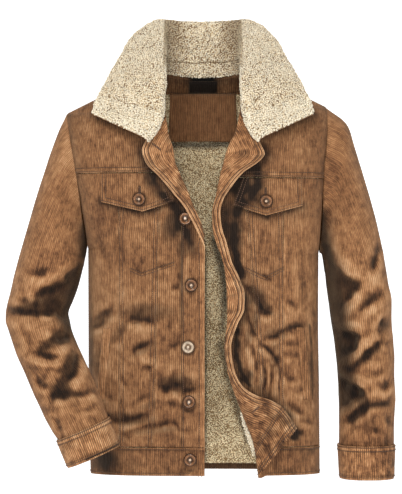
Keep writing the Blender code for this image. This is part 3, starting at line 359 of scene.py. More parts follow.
def turnedStrip(side, z, cols):  # x, z and lift of the strip that turns at the edge
    sign = sides[side]
    edge = frontEdge(side, z)
    seamPlace, turnPlace = sign * seamX(side, z)[0], edge["turn"]
    if z > body["gorgeZ"]:
        seamPlace = sign * necklineX(z)
        turnPlace = mix(edge["crest"], seamPlace, 0.6)
    seam = np.array((seamPlace, z, 0))
    start = np.array((turnPlace, z, 0))
    crest = np.array((edge["crest"], mix(z, edge["edgeZ"], 0.04), edge["crestLift"]))
    end = np.array((edge["edge"], edge["edgeZ"], edge["lift"]))
    inward = np.array((-sign * np.linalg.norm(crest - start), 0, 0))
    bend = (end - start) * 0.5
    flat = mix(seam, start, (cols - 3)[:, None])
    first = hermite(start, inward, crest, bend, np.clip(cols - 4, 0, 1))
    second = hermite(crest, bend, end, end - crest, np.clip(cols - 5, 0, 1))
    return np.where((cols <= 4)[:, None], flat, np.where((cols <= 5)[:, None], first, second))


def frontGrid(side, rows, cols, lift=None, folded=True):
    sign = sides[side]
    yokeZ, gorgeZ = body["yokeZ"][side], body["gorgeZ"]
    cols = np.asarray(cols, float)
    places = np.zeros((len(rows), len(cols), 3))
    across = np.zeros((len(rows), len(cols)))
    for i, row in enumerate(rows):
        nearZ, farZ = rowHeights(side, row)
        half = float(halfWidth(side, farZ))
        low = min(nearZ, yokeZ)
        knots = [float(angleOf(x, halfWidth(side, low))) for x in seamX(side, low)]
        if nearZ > yokeZ:
            x = necklineX(nearZ) if nearZ > gorgeZ else seamX(side, nearZ)[0]
            near = float(angleOf(x, half))
            even = [mix(near, pi / 2, k / 3) for k in range(3)]
            spread = float(ramp(yokeZ, body["neckPoint"][1], nearZ))
            knots = [near, mix(knots[1], even[1], spread), mix(knots[2], even[2], spread)]
        knots = np.array((pi / 2, knots[2], knots[1], knots[0]))
        flat = np.clip(cols, 0, 3)
        angle = np.interp(flat, np.arange(4), knots)
        x = xAt(angle, half)
        nearest = float(xAt(knots[3], half))
        z = mix(nearZ, farZ, np.clip((x - nearest) / (half - nearest), 0, 1))
        places[i] = np.stack((sign * x, z, np.zeros(len(x))), axis=-1)
        across[i] = clothAcross(angle)
        turned = cols > 3
        if turned.any() and row <= 3.31:
            places[i, turned] = turnedStrip(side, nearZ, cols[turned])
    if lift is not None:
        places[..., 2] += lift
    points, height = bodyPoints("front", places[..., 0], places[..., 1], places[..., 2], folded)
    if (cols > 3).any():
        run = runOf(points, 1)
        first = max(int(np.argmax(cols > 3)) - 1, 0)
        over = across[:, first][:, None] - (run - run[:, first][:, None])
        across = np.where((cols > 3)[None, :], over, across)
    return points, sign * across, height


def backTop(x, lining):
    neckX, neckZ = body["neckPoint"]
    if lining:
        return np.minimum(ridgeZ(x) - 0.004, body["liningTopZ"] + np.maximum(np.abs(x) - neckX, 0) * 1.5)
    return np.where(np.abs(x) >= neckX, ridgeZ(x), mix(body["neckBackZ"], neckZ, (x / neckX) ** 2))


def backGrid(rows, columns, lift=None, lining=False):
    rows, columns = np.asarray(rows, float), np.asarray(columns, float)
    x, z = np.zeros((len(rows), len(columns))), np.zeros((len(rows), len(columns)))
    for side, sign in sides.items():
        mine = columns >= 0 if sign > 0 else columns < 0
        levels = (body["hemZ"], body["hemZ"] + body["waistband"], body["backFanZ"], shoulderTop(side))
        for i, row in enumerate(rows):
            k = min(int(row), 2)
            t = row - k
            if k == 2:
                t = math.sin(t * pi / 2)
            farZ = mix(levels[k], levels[k + 1], t)
            half = float(halfWidth(side, farZ))
            along = xAt(np.abs(columns[mine]) * pi / 2, half)
            height = np.full(along.shape, farZ)
            if k == 2:
                top = backTop(along / half * float(halfWidth(side, levels[3])), lining)
                height = mix(body["backFanZ"], top, t)
            x[i, mine], z[i, mine] = sign * along, height
    points, height = bodyPoints("back", x, z, 0 if lift is None else lift, not lining)
    across = np.sign(columns) * clothAcross(np.abs(columns) * pi / 2)
    return points, np.broadcast_to(across, x.shape), height


# turning grids into cloth
flaps = {
    "right": {"outer": 0.166, "inner": 0.047, "point": 0.099, "top": -0.15, "side": 0.046, "tip": 0.062},
    "left": {"outer": 0.1615, "inner": 0.048, "point": 0.1025, "top": -0.1585, "side": 0.044, "tip": 0.06},
}
frontShades = {  # x, z, half width, half height, then turn and strength, of the broad painted shadows
    "right": ((-1570, -6230, 230, 220, 0, 1.04), (-916, -3763, 420, 130, 0, 0.62),
        (-1680, -3910, 190, 100, 0.7, 0.6), (-440, -4940, 320, 130, 0, 0.7),
        (-1177, -5545, 370, 80, 0.1, 0.65), (-785, -5710, 400, 60, 0.1, 0.5),
        (-800, -1520, 170, 230, 0, 0.95), (-630, -1780, 240, 160, -0.6, 0.7),
        (-420, -2290, 190, 300, -0.5, 1.03), (-225, -2580, 140, 280, -0.4, 0.9),
        (-1380, -4110, 220, 70, 0.9, 0.45), (-1000, -4400, 200, 60, 0.5, 0.45),
        (-900, -5300, 180, 50, 0.4, 0.4), (-1870, -4300, 60, 600, 0, 0.6), (-1750, -4600, 100, 220, 0, 0.4),
        (-1520, -5880, 300, 60, 0.1, 0.3)),
    "left": ((790, -1430, 190, 210, 0, 1.02), (660, -1760, 300, 340, 0, 1.02),
        (450, -2320, 190, 520, 0, 1.03), (510, -2800, 110, 280, -0.3, 0.8), (790, -3540, 70, 200, -0.6, 0.75),
        (540, -4380, 80, 320, 0, 1.0), (670, -4810, 150, 130, -0.7, 1.0), (930, -5070, 220, 90, -0.5, 0.55),
        (1500, -5838, 90, 70, 0, 1.0), (1570, -4008, 220, 100, 0.2, 0.55), (1200, -4130, 220, 90, 0, 0.45),
        (1180, -4520, 100, 260, 0, 0.45), (800, -4000, 90, 360, -0.3, 0.55),
        (1420, -5480, 220, 80, -0.8, 0.6), (1680, -5560, 140, 80, 0, 0.45), (1010, -4900, 40, 340, 0, 0.45)),
}
pocketLines = {
    "right": (-1184, -3053, -1007, -3125, -710, -3027, -480, -2950),
    "left": (703, -3043, 1014, -3190, 1308, -3043),
}
shadeLines = {  # reach, strength and path of dark runs: painted shadows beside the turned edges, flaps and welt, and dark seam and buttonhole lines
    "right": ((0.0035, 0.55, -352, -2900, -352, -4000), (0.0035, 0.55, -120, -2750, -20, -2620),
        (0.0135, 1.12, -850, -1360, -790, -1650, -620, -1870, -450, -2060),
        (0.0115, 1.15, -450, -2060, -340, -2320, -240, -2580, -160, -2720),
        (0.0018, 0.95, -1035, -1715, -1035, -1860),
        (0.0022, 0.45, *pocketLines["right"]),
        (0.0022, 0.55, -1160, -3950, -1040, -3970)),
    "left": ((0.003, 0.85, 1755, -4000, 1800, -4400, 1815, -5220),
        (0.004, 0.8, 1330, -5410, 1480, -5560, 1570, -5780),
        (0.013, 1.28, 880, -1240, 880, -1660, 780, -1880),
        (0.0155, 1.22, 690, -1500, 620, -1900, 520, -2250, 480, -2620),
        (0.0018, 0.95, 1020, -1740, 1020, -1890), (0.0022, 0.45, *pocketLines["left"]),
        (0.0085, 1.3, 480, -2620, 560, -2960, 640, -3180),
        (0.005, 1.15, 770, -3360, 880, -3500, 980, -3720, 1090, -3790),
        (0.0055, 1.3, 560, -4050, 530, -4400, 600, -4700, 760, -4970)),
}
buttons = {  # x, z and how far each stands off the front's cloth
    "button_1": (-0.029, -0.224, 0.0018), "button_2": (-0.0196, -0.3321, 0.0018),
    "button_3": (-0.0245, -0.4351, 0.0018), "button_4": (-0.0229, -0.5283, 0.0018),
    "button_5": (-0.0212, -0.626, 0.0018), "flap_button_right": (-0.1035, -0.192, 0.0055),
    "flap_button_left": (0.102, -0.195, 0.0055),
}


def gridNormals(grid, ring=False):
    across = np.gradient(grid, axis=1)
    if ring:
        across = (np.roll(grid, -1, axis=1) - np.roll(grid, 1, axis=1)) / 2
    cross = np.cross(across, np.gradient(grid, axis=0))
    return cross / np.maximum(np.linalg.norm(cross, axis=2, keepdims=True), 1e-12)


def facingOf(grid, out, ring=False):
    return 1 if np.dot(gridNormals(grid, ring)[1, 1], out) > 0 else -1


def shift(grid, distance, out, ring=False):
    distance = np.broadcast_to(distance, grid.shape[:2])
    return grid + gridNormals(grid, ring) * distance[..., None] * facingOf(grid, out, ring)


def blur(field, reach, ring=False):
    kernel = np.ones(2 * reach + 1) / (2 * reach + 1)
    mode = "wrap" if ring else "edge"
    rowsPadded = np.pad(field, ((reach, reach), (0, 0)), mode="edge")
    field = np.apply_along_axis(lambda v: np.convolve(v, kernel, "valid"), 0, rowsPadded)
    colsPadded = np.pad(field, ((0, 0), (reach, reach)), mode=mode)
    return np.apply_along_axis(lambda v: np.convolve(v, kernel, "valid"), 1, colsPadded)


def hollows(height, reach=4, ring=False):  # 1 in a trough, -1 on a ridge
    soft = blur(height, 1, ring)
    return np.clip((blur(soft, reach, ring) - soft) / 0.001, -1.3, 1.5)


def deep(height, dark=0.86):  # the shade that gathers in a deep trough
    return dark * ramp(0.0012, 0.0052, -blur(height, 1))


def nearEdges(grid, which, reach):  # 1 at the named edges of a grid, 0 from reach inwards
    rowRun, colRun = runOf(grid, 0), runOf(grid, 1)
    runs = {"bottom": rowRun, "top": rowRun[-1] - rowRun, "first": colRun, "last": colRun[:, -1:] - colRun}
    near = np.zeros(grid.shape[:2])
    for name in which.split():
        near = np.maximum(near, 1 - ramp(0, reach, runs[name]))
    return near


def alongRows(grid):  # cloth length up each column
    step = np.linalg.norm(np.diff(grid, axis=0), axis=2).mean(axis=1)
    return np.concatenate(([0], np.cumsum(step)))[:, None] + np.zeros(grid.shape[1])


def lineDistance(x, z, line):  # from each point to a run of points
    best = np.full(np.shape(x), 9.0)
    for (x0, z0), (x1, z1) in zip(line[:-1], line[1:]):
        length = math.hypot(x1 - x0, z1 - z0)
        t = np.clip(((x - x0) * (x1 - x0) + (z - z0) * (z1 - z0)) / length**2, 0, 1)
        best = np.minimum(best, np.hypot(x - mix(x0, x1, t), z - mix(z0, z1, t)))
    return best


# painted shade along runs of points
def darkRuns(shade, runs, x, z, power=2.2, where=1.0):
    for reach, dark, *run in runs:
        shade = np.maximum(shade, where * dark * fade(lineDistance(x, z, pairs(run)), reach, power))
    return shade


# painted shade on a front: shadows of the turned edge, flap, buttons and sleeve, and dark seam and buttonhole
# lines, with painted light on the wearer's left side
def frontShade(side, grid, flapped=True):
    x, z = grid[..., 0], grid[..., 2]
    edges = frontEdges[side]
    raised = edges["lift"] > 0.009
    line = list(zip(edges["edge"][raised], edges["edgeZ"][raised]))
    shade = 0.95 * fade(lineDistance(x, z, line), 0.014, 1.6)
    flap, sign = flaps[side], sides[side]
    foot = [(sign * flap[place], flap["top"] - flap[drop])
            for place, drop in (("outer", "side"), ("point", "tip"), ("inner", "side"))]
    if flapped:
        shade = np.maximum(shade, 0.95 * fade(lineDistance(x, z, foot), 0.009, 1.7))
    for *place, turn, dark in frontShades[side]:
        cx, cz, wide, tall = np.array(place) / 10000
        dx, dz = x - cx, z - cz
        u, v = dx * math.cos(turn) + dz * math.sin(turn), dz * math.cos(turn) - dx * math.sin(turn)
        ripple = 1 + 0.3 * cloudy(x, z, 0.01, 205)
        away = ((u / wide) ** 2 + (v / tall) ** 2) * 0.84 * ripple
        shade = np.maximum(shade, dark * np.exp(-away ** 2.3))
    for reach, dark, *run in shadeLines[side]:
        ragged = lineDistance(x, z, pairs(run)) * (1 + 0.3 * cloudy(x, z, 0.007, 207))
        shade = np.maximum(shade, dark * fade(ragged, reach, 2.2))
    # a painted shadow in a ring just below each button
    for bx, bz, *_ in buttons.values():
        fromRim = np.abs(np.hypot(x - bx, z - bz + 0.0008) - 0.01)  # just below the button
        shade = np.maximum(shade, 0.85 * fade(fromRim, 0.003, 2))
    half = np.where(x < 0, halfWidth("right", z), halfWidth("left", z))
    # painted shade where the wearer's right side turns away
    if side == "right":
        shade = np.maximum(shade, 0.35 * np.exp(-((half - np.abs(x)) / 0.006) ** 1.5))
    # painted shade darkens the fronts a little; painted light brightens the wearer's left side low down
    lit = ramp(0.115, 0.165, x) * ramp(-0.22, -0.3, z)
    base = np.where(x < 0, 0.17, mix(0.15, -0.6, lit))
    shade = np.clip(base + (1 - base) * shade * (1 + 0.25 * cloudy(x, z, 0.012, 201)), -0.65, 1.06)
    return shade * ramp(0.0, 0.022, -grid[..., 1])


def paint(mesh, label, values):
    mesh.attributes.new(label, "FLOAT", "POINT").data.foreach_set("value", values.astype(np.float32))


def newObject(name, data):
    made = bpy.data.objects.new(name, data)
    scene.collection.objects.link(made)
    return made


def newPiece(name, mesh, material):
    mesh.polygons.foreach_set("use_smooth", np.ones(len(mesh.polygons), bool))
    mesh.materials.append(material)
    return newObject(name, mesh)


def sew(name, grid, wall, out, material, across=None, along=None, hollow=None, wear=None, shade=None,
        ring=False, keep=None):
    rows, columns = grid.shape[:2]
    turned = facingOf(grid, out, ring) < 0
    across = np.zeros((rows, columns)) if across is None else np.asarray(across)
    along = alongRows(grid) if along is None else np.asarray(along)
    i, j = np.meshgrid(np.arange(rows - 1), np.arange(columns if ring else columns - 1), indexing="ij")
    i, j = i.ravel(), j.ravel()
    if keep is not None:
        kept = keep(i, j)
        i, j = i[kept], j[kept]
    corners = [(i, j), (i, j + 1), (i + 1, j + 1), (i + 1, j)]
    if turned:
        corners = corners[:1] + corners[:0:-1]
    faces = np.stack([a * columns + b % columns for a, b in corners], axis=1)
    wide = np.concatenate((across, across[:, -1:] + (across[:, -1:] - across[:, -2:-1])), axis=1)
    tall = np.concatenate((along, along[:, -1:]), axis=1)
    uv = np.stack([np.stack((wide[a, b], tall[a, b]), axis=-1) for a, b in corners], axis=1)
    used = np.unique(faces)
    renumber = np.full(rows * columns, -1)
    renumber[used] = np.arange(len(used))
    faces = renumber[faces]
    mesh = bpy.data.meshes.new(name)
    mesh.vertices.add(len(used))
    mesh.vertices.foreach_set("co", grid.reshape(-1, 3)[used].astype(np.float32).ravel())
    mesh.loops.add(faces.size)
    mesh.loops.foreach_set("vertex_index", faces.ravel().astype(np.int32))
    mesh.polygons.add(len(faces))
    mesh.polygons.foreach_set("loop_start", np.arange(0, faces.size, 4, dtype=np.int32))
    mesh.update(calc_edges=True)
    mesh.validate()
    mesh.uv_layers.new(name="cloth").data.foreach_set("uv", uv.astype(np.float32).ravel())
    # the material paints from these fields: shade in troughs and highlight on ridges, lighter edges that are
    # wear and painted highlight, and painted shadows
    for label, field in (("hollow", hollow), ("wear", wear), ("shade", shade)):
        values = np.zeros((rows, columns)) if field is None else np.asarray(field, float)
        paint(mesh, label, values.ravel()[used])
    piece = newPiece(name, mesh, material)
    if wall:
        solid = piece.modifiers.new("wall", "SOLIDIFY")
        solid.thickness = wall
        solid.offset = 1
        solid.use_quality_normals = True
    return piece


def finishPiece(piece, slot, *nodes):
    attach(piece, "root")
    if nodes:
        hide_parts(*nodes)
    return piece


# shading
class Shade:  # a socket that takes part in sums
    def __init__(self, tree, socket=None):
        self.tree = tree
        self.socket = socket

    def node(self, kind, settings=None, values=None, out=0):
        made = self.tree.nodes.new("ShaderNode" + kind)
        for name, value in (settings or {}).items():
            if name == "stops":
                ramped = made.color_ramp
                while len(ramped.elements) < len(value):
                    ramped.elements.new(0.5)
                for element, (place, colour) in zip(ramped.elements, value):
                    element.position = place
                    element.color = (*colour, 1)
            else:
                setattr(made, name, value)
        for name, value in (values or {}).items():
            if isinstance(value, Shade):
                self.tree.links.new(value.socket, made.inputs[name])
            else:
                made.inputs[name].default_value = value
        return Shade(self.tree, made.outputs[out])

    def maths(self, operation, a, b=0.0, clamp=False):
        return self.node("Math", {"operation": operation, "use_clamp": clamp}, {0: a, 1: b})

    def __add__(self, other):
        return self.maths("ADD", self, other)

    def __radd__(self, other):
        return self.maths("ADD", other, self)

    def __sub__(self, other):
        return self.maths("SUBTRACT", self, other)

    def __rsub__(self, other):
        return self.maths("SUBTRACT", other, self)

    def __mul__(self, other):
        return self.maths("MULTIPLY", self, other)

    def __rmul__(self, other):
        return self.maths("MULTIPLY", other, self)

    def rise(self, low, high):  # 0 at low, 1 at high
        return self.node("MapRange", {"interpolation_type": "SMOOTHSTEP"}, {0: self, 1: low, 2: high})

    def tint(self, a, b):  # self is the factor
        return self.node("Mix", {"data_type": "RGBA", "blend_type": "MIX"}, {0: self, 6: a, 7: b}, out=2)

    def darkened(self, by):  # a colour times a number
        grey = self.node("CombineXYZ", values={0: by, 1: by, 2: by})
        return self.node("Mix", {"data_type": "RGBA", "blend_type": "MULTIPLY"},
                         {0: 1.0, 6: self, 7: grey}, out=2)

    def noise(self, scale, detail, roughness=0.5, out=0):  # self is the place
        return self.node("TexNoise", values={"Vector": self, "Scale": scale, "Detail": detail,
                                             "Roughness": roughness}, out=out)

    def attribute(self, label):
        return self.node("Attribute", {"attribute_name": label}, out=2)


def newMaterial(name):
    material = bpy.data.materials.new(name)
    material.use_nodes = True
    tree = material.node_tree
    tree.nodes.clear()
    output = tree.nodes.new("ShaderNodeOutputMaterial")
    surface = tree.nodes.new("ShaderNodeBsdfPrincipled")
    tree.links.new(surface.outputs[0], output.inputs["Surface"])
    return material, Shade(tree), surface


def fill(surface, values):
    tree = surface.id_data
    for name, value in values.items():
        if isinstance(value, Shade):
            tree.links.new(value.socket, surface.inputs[name])
        else:
            surface.inputs[name].default_value = value


corduroyLook = {
    "wale": 0.0033,  # from one rib to the next
    "dark": (0.04, 0.016, 0.006), "deep": (0.125, 0.052, 0.021), "mean": (0.255, 0.116, 0.047),
    "light": (0.38, 0.195, 0.088), "wornAndHighlit": (0.5, 0.29, 0.15),
    "ribDepth": 0.001, "sheen": 0.16,
}


def corduroy(name, shadeOf=1.0, contrast=1.0, grain=1.0):
    look = corduroyLook
    material, s, surface = newMaterial(name)
    place = s.node("TexCoord", out=3)
    uv = s.node("UVMap", {"uv_map": "cloth"})
    across = s.node("SeparateXYZ", values={0: uv})
    hollow, wear, shade = [s.attribute(label) for label in ("hollow", "wear", "shade")]
    along = s.node("SeparateXYZ", values={0: uv}, out=1)
    streaky = s.node("CombineXYZ", values={0: across, 1: along * 0.16, 2: 0.0})
    wander = place.noise(38.0, 2.0)
    broad = place.noise(9.0, 3.0, 0.55)
    blotch = place.noise(80.0, 4.0, 0.68)
    streak = streaky.noise(330.0, 3.0, 0.65)
    fuzz = place.noise(900.0, 2.0)
    phase = across * (2 * pi / look["wale"]) + wander * 5.0
    rib = s.maths("SINE", phase) * 0.5 + 0.5
    rib = s.maths("POWER", rib, 0.75)
    # tone: random tone, painted shade in troughs and painted highlight on ridges from hollow, and lighter
    # edges that are wear and painted highlight
    tone = (0.47 + (broad - 0.5) * (0.8 * contrast) + (blotch - 0.5) * (0.85 * contrast)
            + (streak - 0.5) * (1.0 * contrast) - hollow * 0.24 + wear * 0.3 + (fuzz - 0.5) * 0.3)
    colour = s.node("ValToRGB", {"stops": [
        (0.02, look["dark"]), (0.25, look["deep"]), (0.5, look["mean"]), (0.74, look["light"]),
        (1.0, look["wornAndHighlit"])]}, {0: tone})
    ribShare = 0.25 + broad * 0.9  # the wales show more in some places
    shading = (1 - (1 - rib) * ribShare * (0.62 * grain)) * (1 - shade * 0.9) * (1.1 * shadeOf)
    colour = colour.darkened(shading)
    height = rib + fuzz * 0.35 + streak * 0.5
    bump = s.node("Bump", values={"Height": height, "Strength": 0.75, "Distance": look["ribDepth"]})
    fill(surface, {"Base Color": colour, "Roughness": 0.86, "Normal": bump, "Sheen Weight": look["sheen"],
                   "Sheen Roughness": 0.45, "Sheen Tint": (0.75, 0.5, 0.3, 1), "Specular IOR Level": 0.2})
    return material


fold = {"x": 0.065, "low": 0.026, "crease": 0.0525}  # beside the collar's folded edges its inside is in shade
sherpaLook = {
    "collar": {"gap": (0.17, 0.1, 0.045), "body": (0.49, 0.36, 0.205), "tip": (0.9, 0.78, 0.56)},
    "tuft": {"gap": (0.58, 0.45, 0.28), "body": (0.97, 0.86, 0.66), "tip": (1.0, 0.97, 0.82)},
    "lining": {"gap": (0.25, 0.16, 0.07), "body": (0.88, 0.67, 0.39), "tip": (1.0, 0.9, 0.6)},
}


def sherpa(name, look, curl=255.0, contrast=1.0):
    material, s, surface = newMaterial(name)
    place = s.node("TexCoord", out=3)
    drift = place.noise(120.0, 2.0, out=1)
    shaken = s.node("VectorMath", {"operation": "MULTIPLY_ADD"},
                    {0: drift, 1: (0.004, 0.004, 0.004), 2: place})
    cells = s.node("TexVoronoi", {"feature": "SMOOTH_F1"},
                   {"Vector": shaken, "Scale": curl, "Smoothness": 0.35, "Randomness": 1.0})
    small = place.noise(620.0, 3.0, 0.7)
    broad = place.noise(22.0, 3.0, 0.6)
    hollow = s.attribute("hollow")
    tuft = s.maths("SUBTRACT", 1.0, cells * 1.35, clamp=True)
    level = s.node("SeparateXYZ", values={0: place}, out=2)
    aside = s.maths("ABSOLUTE", s.node("SeparateXYZ", values={0: place}))
    # painted shade inside the collar beside its folded edges
    inFold = aside.rise(0.016, fold["x"]) * aside.rise(fold["x"] + 0.003, fold["x"] + 0.001)
    inFold = inFold * level.rise(fold["low"], fold["low"] + 0.01) * (0.55 + level.rise(0.05, 0.11) * 0.45)
    # a painted dark line of shade along the roll crease
    crease = s.maths("ABSOLUTE", level + (broad - 0.5) * 0.01 - fold["crease"]).rise(0.0022, 0.0005)
    inFold = inFold + crease * aside.rise(fold["x"] + 0.001, fold["x"] - 0.004) * 0.9
    # the pile is darker in its dips: painted shade
    tone = (0.5 + (tuft - 0.5) * contrast + (small - 0.5) * (0.6 * contrast) + (broad - 0.5) * 0.3
            - hollow * 0.2 - inFold * 0.42)
    colour = s.node("ValToRGB", {"stops": [(0.12, look["gap"]), (0.42, look["body"]), (0.85, look["tip"])]},
                    {0: tone})
    shade = s.attribute("shade")
    shading = (1 - inFold * 0.22) * (1 - shade * 0.85)
    colour = colour.darkened(shading)
    height = tuft + small * 0.45
    bump = s.node("Bump", values={"Height": height, "Strength": 1.0, "Distance": 0.003})
    fill(surface, {"Base Color": colour, "Roughness": 0.95, "Normal": bump, "Sheen Weight": 0.25,
                   "Sheen Roughness": 0.6, "Sheen Tint": (0.95, 0.86, 0.7, 1), "Specular IOR Level": 0.15})
    return material


def hornMaterial(name, rim, groove, middle):
    material, s, surface = newMaterial(name)
    place = s.node("TexCoord", out=3)
    ring = s.attribute("ring")
    streak = place.noise(210.0, 4.0, 0.6)
    # the colour follows the distance from the middle: a painted highlight in the middle, darker in the sunken
    # ring and at the outer edge, lighter on the rim
    colour = s.node("ValToRGB", {"stops": [(0.0, middle), (0.12, middle), (0.22, groove), (0.44, groove),
                                           (0.55, rim), (0.76, rim), (0.88, groove)]}, {0: ring})
    # the horn's streaks darken it in places
    shade = s.maths("POWER", streak * 1.6, 1.4)
    colour = colour.darkened(shade)
    fill(surface, {"Base Color": colour, "Roughness": 0.34, "Coat Weight": 0.16, "Coat Roughness": 0.16,
                   "Specular IOR Level": 0.25, "Specular Tint": (0.95, 0.72, 0.5, 1)})
    return material


def threadMaterial(name, colour):
    material, s, surface = newMaterial(name)
    place = s.node("TexCoord", out=3)
    twist = place.noise(900.0, 1.0)
    shade = twist.tint((*[c * 0.75 for c in colour], 1), (*[min(c * 1.25, 1) for c in colour], 1))
    fill(surface, {"Base Color": shade, "Roughness": 0.6})
    return material


cord = corduroy("corduroy")
boldCord = corduroy("bold_corduroy", shadeOf=1.26, contrast=1.45, grain=1.5)
patchCord = corduroy("patch_corduroy", shadeOf=0.76, contrast=0.6, grain=1.1)
# insideCord, bandCord and loopCord are darkened copies of the corduroy: painted shade for the neck band and
# the waistband's inside, which sit in shadow, and for the loop, whose near black is its own dark colour and
# painted shade
insideCord = corduroy("inside_corduroy", shadeOf=0.55, contrast=1.1)
bandCord = corduroy("waistband_inside_corduroy", shadeOf=0.22, contrast=0.8)
loopCord = corduroy("loop_corduroy", shadeOf=0.02, contrast=0.5)
collarFleece = sherpa("collar_sherpa", sherpaLook["collar"], contrast=0.92)
tuftFleece = sherpa("tuft_sherpa", sherpaLook["tuft"], curl=420.0, contrast=0.55)
liningFleece = sherpa("lining_sherpa", sherpaLook["lining"], curl=460.0, contrast=1.15)
horns = {
    "dark": hornMaterial("horn", (0.205, 0.09, 0.04), (0.045, 0.018, 0.008), (0.62, 0.45, 0.32)),
    "pale": hornMaterial("pale_horn", (0.47, 0.37, 0.27), (0.14, 0.085, 0.05), (0.6, 0.48, 0.36)),
}
thread = threadMaterial("thread", (0.075, 0.033, 0.014))
print("materials ready")


# stitches along paths
def newTree(name, sockets):  # a geometry tree with named inputs, and what adds a node to it
    tree = bpy.data.node_groups.new(name, "GeometryNodeTree")
    for label, kind in {"Geometry": "Geometry", **sockets}.items():
        tree.interface.new_socket(label, in_out="INPUT", socket_type="NodeSocket" + kind)
    tree.interface.new_socket("Geometry", in_out="OUTPUT", socket_type="NodeSocketGeometry")

    def add(kind, values=None, **settings):
        node = tree.nodes.new(kind)
        for label, value in settings.items():
            setattr(node, label, value)
        for label, value in (values or {}).items():
            if isinstance(value, bpy.types.NodeSocket):
                tree.links.new(value, node.inputs[label])
            else:
                node.inputs[label].default_value = value
        return node.outputs
    return tree, add


def closeTree(add, placed, material):
    real = add("GeometryNodeRealizeInstances", {0: placed[0]})
    smooth = add("GeometryNodeSetShadeSmooth", {0: real[0]})
    painted = add("GeometryNodeSetMaterial", {0: smooth[0], "Material": material})
    add("NodeGroupOutput", {0: painted[0]})


def stitchTree():
    tree, add = newTree("stitches", {"Step": "Float", "Length": "Float", "Width": "Float",
                                     "Thread": "Material"})
    entry = add("NodeGroupInput")
    curve = add("GeometryNodeMeshToCurve", {0: entry["Geometry"]})
    even = add("GeometryNodeResampleCurve", {0: curve[0], "Length": entry["Step"]}, mode="LENGTH")
    points = add("GeometryNodeCurveToPoints", {0: even[0]}, mode="EVALUATED")
    stitch = add("GeometryNodeMeshUVSphere", {"Segments": 4, "Rings": 3, "Radius": 0.5})
    align = add("FunctionNodeAlignRotationToVector", {"Vector": points["Tangent"]}, axis="X")
    size = add("ShaderNodeCombineXYZ", {0: entry["Length"], 1: entry["Width"], 2: entry["Width"]})
    placed = add("GeometryNodeInstanceOnPoints", {"Points": points["Points"], "Instance": stitch["Mesh"],
                                                  "Rotation": align[0], "Scale": size[0]})
    closeTree(add, placed, entry["Thread"])
    return tree


def tuftTree():  # curls of pile strewn over a face
    tree, add = newTree("tufts", {"Spacing": "Float", "Size": "Float", "Seed": "Int", "Pile": "Material"})
    entry = add("NodeGroupInput")
    strew = add("GeometryNodeDistributePointsOnFaces", {
        0: entry["Geometry"], "Distance Min": entry["Spacing"], "Density Max": 400000, "Seed": entry["Seed"],
    }, distribute_method="POISSON")
    curl = add("GeometryNodeMeshIcoSphere", {"Radius": 0.5, "Subdivisions": 1})
    limits = ((-0.5, -0.5, -pi), (0.5, 0.5, pi)), ((1.0, 0.62, 0.6), (1.55, 1.0, 0.95))
    spin, grow = [add("FunctionNodeRandomValue", {0: low, 1: high, "Seed": entry["Seed"]},
                      data_type="FLOAT_VECTOR")[0] for low, high in limits]
    turned = add("FunctionNodeRotateRotation", {"Rotation": strew["Rotation"], "Rotate By": spin},
                 rotation_space="LOCAL")
    size = add("ShaderNodeVectorMath", {0: grow, "Scale": entry["Size"]}, operation="SCALE")
    placed = add("GeometryNodeInstanceOnPoints", {"Points": strew["Points"], "Instance": curl["Mesh"],
                                                  "Rotation": turned[0], "Scale": size[0]})
    closeTree(add, placed, entry["Pile"])
    return tree


def runTree(piece, tree, values):  # the tree's result as a plain mesh
    modifier = piece.modifiers.new("nodes", "NODES")
    modifier.node_group = tree
    for item in tree.interface.items_tree:
        if item.in_out == "INPUT" and item.name in values:
            modifier[item.identifier] = values[item.name]
    bpy.context.view_layer.update()
    graph = bpy.context.evaluated_depsgraph_get()
    made = bpy.data.meshes.new_from_object(piece.evaluated_get(graph))
    old = piece.data
    piece.modifiers.remove(modifier)
    piece.data = made
    made.name = piece.name
    bpy.data.meshes.remove(old)
    return piece


def strewTufts(name, grid, out, spacing, size, seed):
    piece = sew(name, grid, 0, out, tuftFleece)
    runTree(piece, tufts, {"Spacing": spacing, "Size": size, "Seed": seed, "Pile": tuftFleece})
    print(name, len(piece.data.polygons))
    return finishPiece(piece, "sherpa")


stitching = {"step": 0.0034, "length": 0.0033, "width": 0.0016, "proud": 0.0003}
stitches = stitchTree()
tufts = tuftTree()


def sewStitches(name, paths, slot="corduroy", width=None, step=None):
    mesh = bpy.data.meshes.new(name)
    vertices, edges = [], []
    for path in paths:
        start = len(vertices)
        vertices += [tuple(p) for p in path]
        edges += [(start + k, start + k + 1) for k in range(len(path) - 1)]
    mesh.from_pydata(vertices, edges, [])
    piece = newObject(name, mesh)
    runTree(piece, stitches, {"Step": step or stitching["step"], "Length": stitching["length"],
                              "Width": width or stitching["width"], "Thread": thread})
    return finishPiece(piece, slot)


# the fronts
frontCloth = {
    "seamShare": 0.004, "rowShare": 0.0016, "pucker": 0.0007, "puckerReach": 0.011,
    "pocketSeams": (0.0025, 0.008), "yokeSeams": (0.0022, 0.0085),
}
panels = {"side": (0, 1, 30), "pocket": (1, 2, 26), "centre": (2, 3, 18)}
seamStitches = {side: [] for side in sides}


def puckers(near, along, seed):  # short ripples beside a sewn edge
    return frontCloth["pucker"] * near * (cloudy(along, near * 0.0 + seed, 0.0055, seed)
                                          + 0.5 * cloudy(along, near * 0 + seed, 0.012, seed + 1))


def puckered(make, edges, slant, seed, lap=0.0):  # a grid with ripples beside its sewn edges
    grid, across = make(None)[:2]
    near = nearEdges(grid, edges, frontCloth["puckerReach"])
    lift = puckers(near, alongRows(grid) + across * slant, seed) + lap * nearEdges(grid, "bottom", 0.011)
    return (*make(lift), lift)


